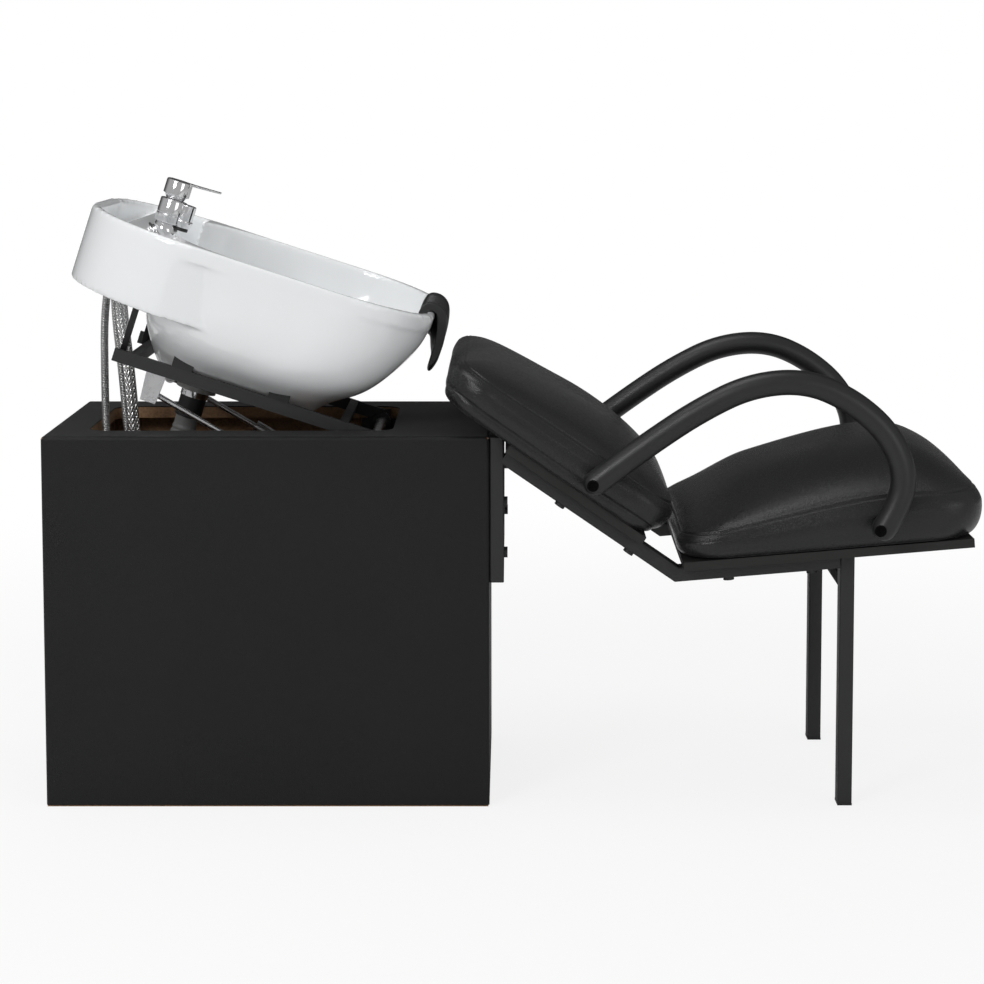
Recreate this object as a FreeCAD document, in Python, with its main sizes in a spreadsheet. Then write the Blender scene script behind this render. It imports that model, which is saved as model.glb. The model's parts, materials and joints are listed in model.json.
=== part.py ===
"""Shampoo chair: a cabinet with a tilting basin, and an upholstered chair on a tube frame.

Millimetres. +X points to the front of the seat, +Z is up, and the origin is on the floor under
the middle of the object. The basin and its frame are drawn level about the tilt pivot, and a
placement then raises their rear by the rest angle.
"""
import FreeCAD, Part
import math
import os
import re

import Sketcher
from FreeCAD import Placement, Rotation, Vector

SIZES = [
    ("cabinet_length", 613, "cabinet, along X"),
    ("cabinet_width", 398, "cabinet, along Y"),
    ("cabinet_height", 516, "cabinet top above the floor"),
    ("cabinet_front", -31, "X of the cabinet face that carries the chair"),
    ("panel", 16, "wooden panel"),
    ("skin", 1.5, "upholstery cover of the cabinet"),
    ("cover_edge", 5, "rounding of the cover's outer edges"),
    ("cover_lift", 2, "cover stops this far above the floor"),
    ("batten", 30, "square corner batten"),
    ("opening_margin", 54, "rear of the cabinet to the top opening"),
    ("opening_length", 424, "top opening, along X"),
    ("opening_width", 272, "top opening, along Y"),
    ("opening_corner", 28, "corner radius of the top opening"),
    ("tube", 20, "chair tube, seen from the side"),
    ("tube_depth", 30, "chair tube, along Y"),
    ("tube_wall", 1.5, "wall of the chair tube"),
    ("frame_width", 386, "chair frame over its tubes"),
    ("post_bottom", 313, "lower end of the post on the cabinet"),
    ("post_top", 514, "upper end of the post"),
    ("bend_x", 224, "lower corner between back rail and seat rail"),
    ("bend_z", 313.5, "the same corner, above the floor"),
    ("back_slope", 34.5, "back rail, degrees"),
    ("seat_slope", 4.8, "seat rail, degrees"),
    ("leg_x", 451, "rear face of the front leg"),
    ("foot", 3, "plastic foot under the leg"),
    ("cross_drop", 30, "front cross tube below the top of the leg"),
    ("board", 12, "plywood under the cushions"),
    ("seat_length", 433, "seat cushion along the seat rail"),
    ("seat_rear_height", 40, "seat cushion at its rear edge"),
    ("seat_front_height", 94, "seat cushion at its front edge"),
    ("cushion_width", 492, "seat and back cushion, along Y"),
    ("seat_crown", 40, "rise of the seat in its middle, above its edges"),
    ("back_crown", 18, "rise of the back in its middle, above its edges"),
    ("back_low", 52, "lower end of the back, along the back rail"),
    ("back_high", 424, "upper end of the back, along the back rail"),
    ("pad_height", 31, "rear pad of the back"),
    ("back_height", 36, "front cushion of the back at its edges"),
    ("lumbar", 12, "extra rise of the back at the loins"),
    ("arm_section", 34, "diameter of an arm"),
    ("arm_gap", 0.3, "arm to the side of the cushions"),
    ("pivot_x", -193.5, "tilt pivot"),
    ("pivot_z", 495.3, "tilt pivot above the floor"),
    ("rest_tilt", 18, "rear of the basin raised, degrees"),
    ("basin_rear", 475.5, "pivot to the rear of the basin, level"),
    ("basin_front", 26.5, "pivot to the front of the basin, level"),
    ("basin_width", 490, "basin over its rim"),
    ("rim_height", 198, "rim above the pivot, level"),
    ("bowl_depth", 206, "rim to the underside of the bowl"),
    ("basin_wall", 11, "thickness of the basin"),
    ("rim_band", 22, "height of the rim band"),
    ("apron_drop", 106, "rim to the lower edge of the rear apron"),
    ("ridge_x", 413, "pivot to the tap ridge, level"),
    ("ridge_drop", 5, "rim to the top of the tap ridge"),
    ("ridge_slope", 40, "both faces of the tap ridge, degrees"),
    ("neck_radius", 75, "neck dip in the front rim"),
    ("neck_depth", 40, "neck dip below the rim"),
    ("neck_pad", 6, "rubber on the neck dip"),
    ("drain_x", 268, "pivot to the drain, level"),
    ("drain_radius", 20, "drain tube, outside"),
    ("arm_bar", 8, "tilt bar, along Y"),
    ("arm_bar_height", 18, "tilt bar, height"),
    ("arm_bar_y", 122, "middle of a tilt bar"),
    ("arm_bar_length", 382, "pivot to the rear end of a tilt bar"),
    ("hub_radius", 14, "hub of a tilt bar"),
    ("hinge_radius", 8, "hinge rod"),
    ("running_fit", 0.05, "radial clearance of what turns or slides"),
    ("clevis_x", 317, "pivot to the upper strut pin, level"),
    ("clevis_drop", 30, "upper strut pin below the pivot, level"),
    ("strut_y", 96, "middle of a gas strut"),
    ("strut_low_x", -245.6, "lower strut pin"),
    ("strut_low_z", 412, "lower strut pin above the floor"),
    ("strut_radius", 9.5, "strut cylinder"),
    ("rod_radius", 4, "strut rod"),
    ("strut_pin", 4, "radius of the strut pins"),
    ("eye_clearance", 1.6, "upper strut eye round its pin"),
    ("tap_radius", 16, "tap body"),
    ("tap_x", 378.5, "pivot to the tap body, level"),
    ("spray_radius", 11, "spray head in its socket"),
    ("spray_x", 357.5, "pivot to the spray head, level"),
    ("hose_diameter", 11, "shower and supply hoses"),
    ("drain_hose_radius", 19, "drain hose over its ribs"),
]

doc = FreeCAD.newDocument("ShampooChair")
sheet = doc.addObject("Spreadsheet::Sheet", "Sizes")
for row, (alias, value, meaning) in enumerate(SIZES, start=1):
    sheet.set(f"A{row}", meaning)
    sheet.set(f"B{row}", str(value))
    sheet.setAlias(f"B{row}", alias)
doc.recompute()


class Size:
    """The sheet's cells as plain numbers, for shapes that are worked out in code."""

    def __getattr__(self, alias):
        return float(sheet.get(alias))


size = Size()
ALIASES = re.compile(r"\b(" + "|".join(alias for alias, value, meaning in SIZES) + r")\b")
AXIS_Y = Vector(0, 1, 0)
AXIS_Z = Vector(0, 0, 1)
NEAR, FAR = -1, 1
SIDES = (("near", NEAR), ("far", FAR))
nodes = []


def expression(text):
    return ALIASES.sub(r"Sizes.\1", text)


def bind(item, **paths):
    """Tie properties to expressions of the sheet's aliases; double underscores stand for dots."""
    for path, text in paths.items():
        item.setExpression(path.replace("__", "."), expression(text))


def node(item):
    nodes.append(item)
    return item


def feature(label, shape, placement=None):
    """A sub-part whose shape is worked out in code."""
    item = doc.addObject("Part::Feature", label)
    item.Shape = shape
    if placement:
        item.Placement = placement
    return node(item)


def block(label, corner, extent):
    """A box bound to the sheet: its least corner and its extent, as expressions."""
    item = doc.addObject("Part::Box", label)
    bind(item, Length=extent[0], Width=extent[1], Height=extent[2],
         Placement__Base__x=corner[0], Placement__Base__y=corner[1], Placement__Base__z=corner[2])
    return item


def cut(label, base, tool):
    item = doc.addObject("Part::Cut", label)
    item.Base = base
    item.Tool = tool
    return item


def group(label, items):
    item = doc.addObject("Part::Compound", label)
    item.Links = items
    return node(item)


def polygon(body, name, points, centre):
    """A sketch on the body's XZ plane whose corners are bound; it lies at -centre along Y."""
    plane = [datum for datum in body.Origin.OriginFeatures if datum.Role == "XZ_Plane"][0]
    sketch = body.newObject("Sketcher::SketchObject", name)
    sketch.AttachmentSupport = [(plane, "")]
    sketch.MapMode = "FlatFace"
    bind(sketch, AttachmentOffset__Base__z=centre)
    count = len(points)
    start = [Vector(math.cos(2 * math.pi * k / count), math.sin(2 * math.pi * k / count), 0)
             for k in range(count)]
    for k in range(count):
        sketch.addGeometry(Part.LineSegment(start[k], start[(k + 1) % count]))
    for k in range(count):
        sketch.addConstraint(Sketcher.Constraint("Coincident", k, 2, (k + 1) % count, 1))
    for k, point in enumerate(points):
        for axis, text in zip(("DistanceX", "DistanceY"), point):
            held = sketch.addConstraint(Sketcher.Constraint(axis, k, 1, getattr(start[k], axis[-1].lower())))
            sketch.setExpression(f"Constraints[{held}]", expression(text))
    return sketch


def prism(label, points, centre, depth, hollow=None):
    """A body padded both ways along Y from a bound outline, with an optional hollow along it."""
    body = doc.addObject("PartDesign::Body", label)
    pad = body.newObject("PartDesign::Pad", label + "_pad")
    pad.Profile = polygon(body, label + "_outline", points, centre)
    pad.SideType = "Symmetric"
    bind(pad, Length=depth)
    if hollow:
        pocket = body.newObject("PartDesign::Pocket", label + "_bore")
        pocket.Profile = polygon(body, label + "_inside", hollow, centre)
        pocket.SideType = "Symmetric"
        bind(pocket, Length=f"{depth} - 2 * tube_wall")
    return node(body)


def rounded(points, radii):
    """A closed wire through corner points, each rounded by a tangent arc."""
    edges = []
    ends = []
    count = len(points)
    for k in range(count):
        corner = points[k]
        back = (points[k - 1] - corner).normalize()
        ahead = (points[(k + 1) % count] - corner).normalize()
        half = back.getAngle(ahead) / 2
        reach = radii[k] / math.tan(half)
        middle = corner + (back + ahead).normalize() * (radii[k] / math.sin(half) - radii[k])
        ends.append((corner + back * reach, middle, corner + ahead * reach))
    for k in range(count):
        start, middle, end = ends[k]
        edges.append(Part.Arc(start, middle, end).toShape())
        edges.append(Part.LineSegment(end, ends[(k + 1) % count][0]).toShape())
    return Part.Wire(edges)


def path(points, radii):
    """An open wire of straight runs joined by tangent arcs."""
    edges = []
    start = points[0]
    for k in range(1, len(points) - 1):
        corner = points[k]
        back = (points[k - 1] - corner).normalize()
        ahead = (points[k + 1] - corner).normalize()
        half = back.getAngle(ahead) / 2
        reach = radii[k - 1] / math.tan(half)
        middle = corner + (back + ahead).normalize() * (radii[k - 1] / math.sin(half) - radii[k - 1])
        edges.append(Part.LineSegment(start, corner + back * reach).toShape())
        edges.append(Part.Arc(corner + back * reach, middle, corner + ahead * reach).toShape())
        start = corner + ahead * reach
    edges.append(Part.LineSegment(start, points[-1]).toShape())
    return Part.Wire(edges)


def sweep(wire, start, direction, radius):
    """A round bar along a wire."""
    ring = Part.Wire(Part.makeCircle(radius, start, direction))
    return wire.makePipeShell([ring], True, True)


def across(x, y, z, radius, length):
    """A cylinder along Y that starts at y."""
    return Part.makeCylinder(radius, length, Vector(x, y, z), AXIS_Y)


def slab(outline, half_depth):
    """A solid between -half_depth and half_depth along Y from (x, z) corners."""
    corners = [Vector(x, -half_depth, z) for x, z in outline]
    face = Part.Face(Part.makePolygon(corners + corners[:1]))
    return face.extrude(Vector(0, 2 * half_depth, 0))


def mirror_y(shape):
    return shape.mirror(Vector(), AXIS_Y)


# Cabinet: wooden panels under one upholstered cover, with a framed opening in the top.
REAR = "(cabinet_front - cabinet_length)"
INNER_HEIGHT = "cabinet_height - skin - panel"
INNER_HALF = "(cabinet_width / 2 - skin - panel)"


def cabinet():
    body_length = "cabinet_length - 2 * skin"
    for name, y in (("near", "-cabinet_width / 2 + skin"), ("far", INNER_HALF)):
        node(block(f"cabinet_side_{name}", (f"{REAR} + skin", y, "0"), (body_length, "panel", INNER_HEIGHT)))
    for name, x in (("front", "cabinet_front - skin - panel"), ("rear", f"{REAR} + skin")):
        node(block(f"cabinet_{name}_panel", (x, f"-{INNER_HALF}", "0"),
                   ("panel", f"2 * {INNER_HALF}", INNER_HEIGHT)))
    opening = block("opening_tool", (f"{REAR} + opening_margin", "-opening_width / 2", INNER_HEIGHT + " - panel"),
                    ("opening_length", "opening_width", "4 * panel"))
    board = block("top_blank", (f"{REAR} + skin", "-cabinet_width / 2 + skin", INNER_HEIGHT),
                  (body_length, "cabinet_width - 2 * skin", "panel"))
    outer = block("cover_blank", (REAR, "-cabinet_width / 2", "cover_lift"),
                  ("cabinet_length", "cabinet_width", "cabinet_height - cover_lift"))
    inside = block("cover_inside", (f"{REAR} + skin", "-cabinet_width / 2 + skin", "0"),
                   (body_length, "cabinet_width - 2 * skin", "cabinet_height - skin"))
    doc.recompute()
    upright = [k for k, edge in enumerate(opening.Shape.Edges, start=1) if edge.tangentAt(0).z ** 2 > 0.5]
    top = [k for k, edge in enumerate(outer.Shape.Edges, start=1)
           if edge.tangentAt(0).z ** 2 > 0.5 or edge.CenterOfMass.z > size.cabinet_height - size.skin]
    soft_opening = doc.addObject("Part::Fillet", "opening_rounded")
    soft_opening.Base = opening
    soft_opening.Edges = [(k, size.opening_corner, size.opening_corner) for k in upright]
    soft_cover = doc.addObject("Part::Fillet", "cover_rounded")
    soft_cover.Base = outer
    soft_cover.Edges = [(k, size.cover_edge, size.cover_edge) for k in top]
    node(cut("cabinet_top_board", board, soft_opening))
    node(cut("cabinet_cover", cut("cover_shell", soft_cover, inside), soft_opening))
    battens = []
    for x_name, x in (("rear", f"{REAR} + skin + panel"), ("front", "cabinet_front - skin - panel - batten")):
        for y_name, y in (("near", f"-{INNER_HALF}"), ("far", f"{INNER_HALF} - batten")):
            battens.append(block(f"batten_{x_name}_{y_name}", (x, y, "0"), ("batten", "batten", INNER_HEIGHT)))
    group("corner_battens", battens)


# Hinge and lower strut mount: a rod in two plates under the opening's edges, and a cross rail.
PLATE = 4
PLATE_REACH = 38
PLATE_LENGTH = 60
PLATE_INSET = 4
TAB_REAR = 22
TAB_FRONT = 13
SCREW_HEAD = 5
LUG_HALF = 11


def hinge():
    edge = size.opening_width / 2 - PLATE_INSET
    underside = size.cabinet_height - size.skin - size.panel
    rod = across(size.pivot_x, -edge, size.pivot_z, size.hinge_radius, 2 * edge)
    feature("hinge_rod", rod)
    plates = []
    screws = []
    for name, side in SIDES:
        low = size.pivot_z - size.hub_radius
        web = Part.makeBox(PLATE_LENGTH, PLATE, underside - low,
                           Vector(size.pivot_x - PLATE_LENGTH / 2, edge - PLATE, low))
        tab = Part.makeBox(TAB_REAR + TAB_FRONT, PLATE, size.panel - 2,
                           Vector(size.pivot_x - TAB_REAR, edge - PLATE, underside))
        flange = Part.makeBox(PLATE_LENGTH, PLATE_REACH, PLATE,
                              Vector(size.pivot_x - PLATE_LENGTH / 2, edge - PLATE, underside - PLATE))
        plate = web.fuse([tab, flange]).cut(rod).removeSplitter()
        plates.append(plate if side == FAR else mirror_y(plate))
        for shift in (-PLATE_LENGTH / 3, PLATE_LENGTH / 3):
            foot = Vector(size.pivot_x + shift, edge + PLATE_REACH / 2, underside - PLATE)
            head = Part.makeCylinder(SCREW_HEAD, 3, foot - AXIS_Z * 3, AXIS_Z)
            screws.append(head if side == FAR else mirror_y(head))
    feature("hinge_brackets", Part.makeCompound(plates))
    feature("bracket_screws", Part.makeCompound(screws))


def strut_rail():
    reach = size.cabinet_width / 2 - size.skin - size.panel
    high = 24
    wide = 25
    top = size.strut_low_z - 18
    low = Vector(size.strut_low_x - wide / 2, -reach, top - high)
    tube = Part.makeBox(wide, 2 * reach, high, low)
    bore = Part.makeBox(wide - 4, 2 * reach, high - 4, low + Vector(2, 0, 2))
    rail = tube.cut(bore)
    pins = []
    for name, side in SIDES:
        for shift in (-8, 8):
            inner = side * size.strut_y + shift + (0 if shift > 0 else -PLATE)
            lug = Part.makeBox(2 * LUG_HALF, PLATE, 28, Vector(size.strut_low_x - LUG_HALF, inner, top))
            hole = across(size.strut_low_x, inner, size.strut_low_z, size.strut_pin, PLATE)
            rail = rail.fuse(lug.cut(hole))
        pins.append(across(size.strut_low_x, side * size.strut_y - 13, size.strut_low_z, size.strut_pin, 26))
    feature("strut_rail", rail.removeSplitter())
    feature("strut_low_pins", Part.makeCompound(pins))


# Chair frame: on each side a post on the cabinet, a sloping back rail, a seat rail and a leg.
MITRE_X = "(sin(back_slope) - sin(seat_slope)) / (1 + cos(back_slope + seat_slope))"
MITRE_Z = "(cos(back_slope) + cos(seat_slope)) / (1 + cos(back_slope + seat_slope))"
POST_FRONT = "(cabinet_front + tube)"
LEG_TOP = "(bend_z + (leg_x - bend_x) * tan(seat_slope) + tube / cos(seat_slope))"
RAIL_MIDDLE = "(frame_width - tube_depth) / 2"
INSIDE = "(tube - tube_wall)"


def back_rail_line(offset):
    """The back rail's line at a distance above its lower edge, from the post to the bend."""
    return ((POST_FRONT, f"bend_z + (bend_x - {POST_FRONT}) * tan(back_slope) + {offset} / cos(back_slope)"),
            (f"bend_x + {offset} * {MITRE_X}", f"bend_z + {offset} * {MITRE_Z}"))


def seat_rail_line(offset):
    """The seat rail's line at a distance above its lower edge, from the bend to the leg."""
    return ((f"bend_x + {offset} * {MITRE_X}", f"bend_z + {offset} * {MITRE_Z}"),
            ("leg_x", f"bend_z + (leg_x - bend_x) * tan(seat_slope) + {offset} / cos(seat_slope)"))


def upright(x, low, high, inset):
    return ((f"{x} + {inset}", low), (f"{x} + tube - {inset}", low),
            (f"{x} + tube - {inset}", high), (f"{x} + {inset}", high))


def chair_frame():
    for name, side in SIDES:
        centre = RAIL_MIDDLE if side == NEAR else f"-{RAIL_MIDDLE}"
        prism(f"frame_post_{name}", upright("cabinet_front", "post_bottom", "post_top", "0"), centre,
              "tube_depth", upright("cabinet_front", "post_bottom", "post_top", "tube_wall"))
        for label, line in (("back_rail", back_rail_line), ("seat_rail", seat_rail_line)):
            outer = line("0") + line("tube")[::-1]
            inner = line("tube_wall") + line(INSIDE)[::-1]
            prism(f"{label}_{name}", outer, centre, "tube_depth", inner)
        prism(f"front_leg_{name}", upright("leg_x", "foot", LEG_TOP, "0"), centre, "tube_depth",
              upright("leg_x", "foot", LEG_TOP, "tube_wall"))
    inner_half = "(frame_width / 2 - tube_depth)"
    for label, x, z in (("front_cross_tube", "leg_x", f"{LEG_TOP} - cross_drop - tube"),
                        ("rear_cross_tube", "cabinet_front", "post_bottom")):
        outer = block(label + "_outer", (x, f"-{inner_half}", z), ("tube", f"2 * {inner_half}", "tube"))
        bore = block(label + "_inner", (f"{x} + tube_wall", f"-{inner_half}", f"{z} + tube_wall"),
                     ("tube - 2 * tube_wall", f"2 * {inner_half}", "tube - 2 * tube_wall"))
        node(cut(label, outer, bore))
    feet = []
    plug = 14
    for name, side in SIDES:
        middle = side * (size.frame_width - size.tube_depth) / 2
        sole = Part.makeBox(size.tube, size.tube_depth, size.foot, Vector(size.leg_x, middle - size.tube_depth / 2, 0))
        inset = size.tube_wall + 0.1
        stem = Part.makeBox(size.tube - 2 * inset, size.tube_depth - 2 * inset, plug,
                            Vector(size.leg_x + inset, middle - size.tube_depth / 2 + inset, size.foot))
        feet.append(sole.fuse(stem))
    feature("leg_feet", Part.makeCompound(feet))


def frame_bolts():
    """Bolts: two through each post into the cabinet, and one under each rail into the boards."""
    bolts = []
    head, head_height, shank = 7.5, 5, 4
    for name, side in SIDES:
        middle = side * (size.frame_width - size.tube_depth) / 2
        for z in (size.post_bottom + 40, size.post_bottom + 110):
            foot = Vector(size.cabinet_front + size.tube, middle, z)
            bolts.append(Part.makeCylinder(head, head_height, foot, Vector(1, 0, 0)))
    for angle, places, direction in ((size.back_slope, (75, 190), -1), (-size.seat_slope, (75, 190), 1)):
        turn = Rotation(AXIS_Y, angle)
        for name, side in SIDES:
            middle = side * (size.frame_width - size.tube_depth) / 2
            for place in places:
                foot = Vector(size.bend_x, middle, size.bend_z) + turn.multVec(Vector(direction * place, 0, 0))
                bolts.append(Part.makeCylinder(head, head_height, foot, turn.multVec(-AXIS_Z)))
    feature("frame_bolts", Part.makeCompound(bolts))


# Upholstery: plywood boards on the rails, and cushions with a crown and drawn-in sides.
SEAT_TURN = -1
BACK_TURN = 1


def rail_placement(turn):
    slope = size.back_slope if turn == BACK_TURN else -size.seat_slope
    return Placement(Vector(size.bend_x, 0, size.bend_z), Rotation(AXIS_Y, slope))


def cushion(profile, radii):
    """A loft across the width: the profile is drawn in at the sides and rises to the middle."""
    half = size.cushion_width / 2
    stations = ((1.0, 14), (0.985, 7), (0.96, 2.5), (0.92, 0), (0.7, 0), (0.4, 0))
    places = [(-share, inset) for share, inset in stations] + [(0, 0)]
    places += [(share, inset) for share, inset in stations[::-1]]
    middle_x = sum(x for x, z, rise in profile) / len(profile)
    heights = [z for x, z, rise in profile]
    middle_z = sum(heights) / len(heights)
    sections = []
    for share, inset in places:
        lift = 1 - share * share
        drawn = min(0.6 * inset, 0.2 * (max(heights) - min(heights)))
        corners = [Vector(x - math.copysign(inset, x - middle_x), share * half,
                          z + rise * lift - math.copysign(drawn, z - middle_z))
                   for x, z, rise in profile]
        sections.append(rounded(corners, [radius * (1 - inset / 25) for radius in radii]))
    return Part.makeLoft(sections, True, True)


def bolt_hole(x, z):
    """Room for an arm bolt in the sides of a cushion."""
    length = 30
    half = size.cushion_width / 2
    tools = [across(x, half - length, z, ARM_BOLT + 0.3, 2 * length)]
    tools.append(mirror_y(tools[0]))
    return tools


# Top line of the seat from front to rear: share of its length, of its gain in height, and of its crown.
SEAT_TOP = ((1.0, 0.93, 0.1), (0.8, 0.93, 1.0), (0.53, 0.72, 0.95), (0.14, 0.19, 0.6), (0.01, 0.0, 0.12))
SEAT_RADII = (10, 18, 34, 90, 220, 90, 14)
SEAT_UNDERCUT = 12


def seat():
    half = size.cushion_width / 2 - 22
    board = doc.addObject("Part::Box", "seat_board")
    board.Placement = Placement(Vector(), Rotation(AXIS_Y, -1))
    lead = 12
    bind(board, Length=f"seat_length - {3 * lead}", Width=f"{2 * half}", Height="board",
         Placement__Base__x=f"bend_x + {lead} * cos(seat_slope) - tube * sin(seat_slope)",
         Placement__Base__y=f"-{half}",
         Placement__Base__z=f"bend_z + {lead} * sin(seat_slope) + tube * cos(seat_slope)",
         Placement__Rotation__Angle="-seat_slope")
    node(board)
    low = size.tube + size.board + size.arm_gap
    gain = size.seat_front_height - size.seat_rear_height
    top = [(along * size.seat_length, low + size.seat_rear_height + share * gain, rise * size.seat_crown)
           for along, share, rise in SEAT_TOP]
    profile = [(0, low, 0), (size.seat_length - SEAT_UNDERCUT, low, 0), *top]
    shape = cushion(profile, SEAT_RADII)
    shape.Placement = rail_placement(SEAT_TURN)
    feature("seat_cushion", shape.cut(bolt_hole(*ARM_FRONT)))


LUMBAR_PLACE = 150
BACK_RADII = (10, 10, 25, 260, 25)


def back():
    half = size.cushion_width / 2 - 22
    board = doc.addObject("Part::Box", "back_board")
    board.Placement = Placement(Vector(), Rotation(AXIS_Y, 1))
    post_gap = 2
    reach = f"((bend_x + tube * sin(back_slope) - {POST_FRONT} - {post_gap}) / cos(back_slope))"
    bind(board, Length=f"{reach} - back_low - 20", Width=f"{2 * half}", Height="board",
         Placement__Base__x=f"bend_x - {reach} * cos(back_slope) + tube * sin(back_slope)",
         Placement__Base__y=f"-{half}",
         Placement__Base__z=f"bend_z + {reach} * sin(back_slope) + tube * cos(back_slope)",
         Placement__Rotation__Angle="back_slope")
    node(board)
    low = size.tube + size.board + size.arm_gap
    top = low + size.pad_height
    pad = ((-size.back_low - 14, low, 0), (-size.back_low - 10, top, 0),
           (-size.back_high + 8, top, 0), (-size.back_high + 8, low, 0))
    shape = cushion(pad[::-1], (9, 9, 8, 8))
    shape.Placement = rail_placement(BACK_TURN)
    feature("back_pad", shape.cut(bolt_hole(*ARM_REAR)))
    low = top + size.arm_gap
    high = low + size.back_height
    rise = size.back_crown
    front = ((-size.back_high, low, 0), (-size.back_low, low, 0), (-size.back_low, high, rise),
             (-size.back_low - LUMBAR_PLACE, high + size.lumbar, rise), (-size.back_high, high, rise))
    shape = cushion(front, BACK_RADII)
    shape.Placement = rail_placement(BACK_TURN)
    feature("back_cushion", shape)


# Arms: one bent bar on each side, bolted to the back at its rear end and to the seat in front.
ARM_BOLT = 4
ARM_REAR = (108, 461)
ARM_FRONT = (493, 400)
ARM_ROUTE = ((97, 452.5), (290, 601), (440, 614), (537, 520), (488.5, 386))
ARM_BENDS = (150, 120, 78)
ARM_RECESS = 8
ARM_RECESS_DEPTH = 11


def arms():
    radius = size.arm_section / 2
    middle = size.cushion_width / 2 + size.arm_gap + radius
    route = [Vector(x, -middle, z) for x, z in ARM_ROUTE]
    bar = sweep(path(route, ARM_BENDS), route[0], route[1] - route[0], radius)
    for end in (route[0], route[-1]):
        bar = bar.fuse(Part.makeSphere(radius, end))
    bolts = []
    for x, z in (ARM_REAR, ARM_FRONT):
        face = -middle - radius
        bar = bar.cut(across(x, face - 1, z, ARM_RECESS, ARM_RECESS_DEPTH + 1))
        bar = bar.cut(across(x, face, z, ARM_BOLT, 2 * radius))
        head = across(x, face + ARM_RECESS_DEPTH - 5, z, ARM_RECESS - 1, 5)
        shank = across(x, face + ARM_RECESS_DEPTH, z, ARM_BOLT, 2 * radius + 12)
        bolts.append(head.fuse(shank).removeSplitter())
    bar = bar.removeSplitter()
    feature("arm_near", bar)
    feature("arm_far", mirror_y(bar))
    feature("arm_bolts", Part.makeCompound(bolts + [mirror_y(bolt) for bolt in bolts]))


# Basin: a deep bowl with a rim band, a rear apron, a ridge for the tap and a neck dip.
def basin_section(height, rear, front, half_width):
    corner = min(130, 0.72 * half_width, 0.45 * (front - rear))
    points = [Vector(rear, -half_width, height), Vector(front, -half_width, height),
              Vector(front, half_width, height), Vector(rear, half_width, height)]
    return rounded(points, [corner] * 4)


def bowl(grow):
    """The outside of the bowl for grow 0; a positive value swells it, a negative one shrinks it."""
    rim, low = size.rim_height, size.rim_height - size.bowl_depth
    half = size.basin_width / 2 - 1
    front = size.basin_front - 1
    rear = -size.ridge_x + 45
    drop = size.bowl_depth
    stations = ((rim, rear, front, half), (rim - 0.16 * drop, rear + 2, front - 2, half),
                (rim - 0.38 * drop, rear + 5, front - 20, half - 5),
                (rim - 0.57 * drop, rear + 9, front - 44, half - 19),
                (rim - 0.74 * drop, rear + 16, front - 75, half - 67),
                (rim - 0.875 * drop, rear + 30, front - 110, half - 133),
                (low + 8, rear + 44, front - 126, half - 162), (low, rear + 60, front - 144, half - 186))
    sections = [basin_section(height - max(grow, -grow) * (k == len(stations) - 1) * math.copysign(1, grow),
                              back - grow, ahead + grow, wide + grow)
                for k, (height, back, ahead, wide) in enumerate(stations)]
    if grow < 0:
        sections.insert(0, basin_section(rim + 5, rear - grow, front + grow, half + grow))
    return Part.makeLoft(sections, True, False)


def rim_outline(inset, low, high):
    """The plan of the basin, drawn in by inset, between two heights."""
    half = size.basin_width / 2 - inset
    rear, front = -size.basin_rear + inset, size.basin_front - inset
    points = [Vector(rear, -half, low), Vector(front, -half, low), Vector(front, half, low), Vector(rear, half, low)]
    plan = rounded(points, (170 - inset, 120 - inset, 120 - inset, 170 - inset))
    return Part.Face(plan).extrude(Vector(0, 0, high - low))


def ridge_point(along, below):
    """A place on the tap ridge's front face: along it from the top, and below it."""
    slope = math.radians(size.ridge_slope)
    return (-size.ridge_x + along * math.cos(slope) - below * math.sin(slope),
            size.rim_height - size.ridge_drop - along * math.sin(slope) - below * math.cos(slope))


def ridge_normal():
    slope = math.radians(size.ridge_slope)
    return Vector(math.sin(slope), 0, math.cos(slope))


# The sides of the apron turn in from APRON_BLEND, and vanish in the bowl at APRON_POINT.
APRON_BLEND = 338
APRON_POINT = 254
APRON_TAPER = 17


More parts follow.
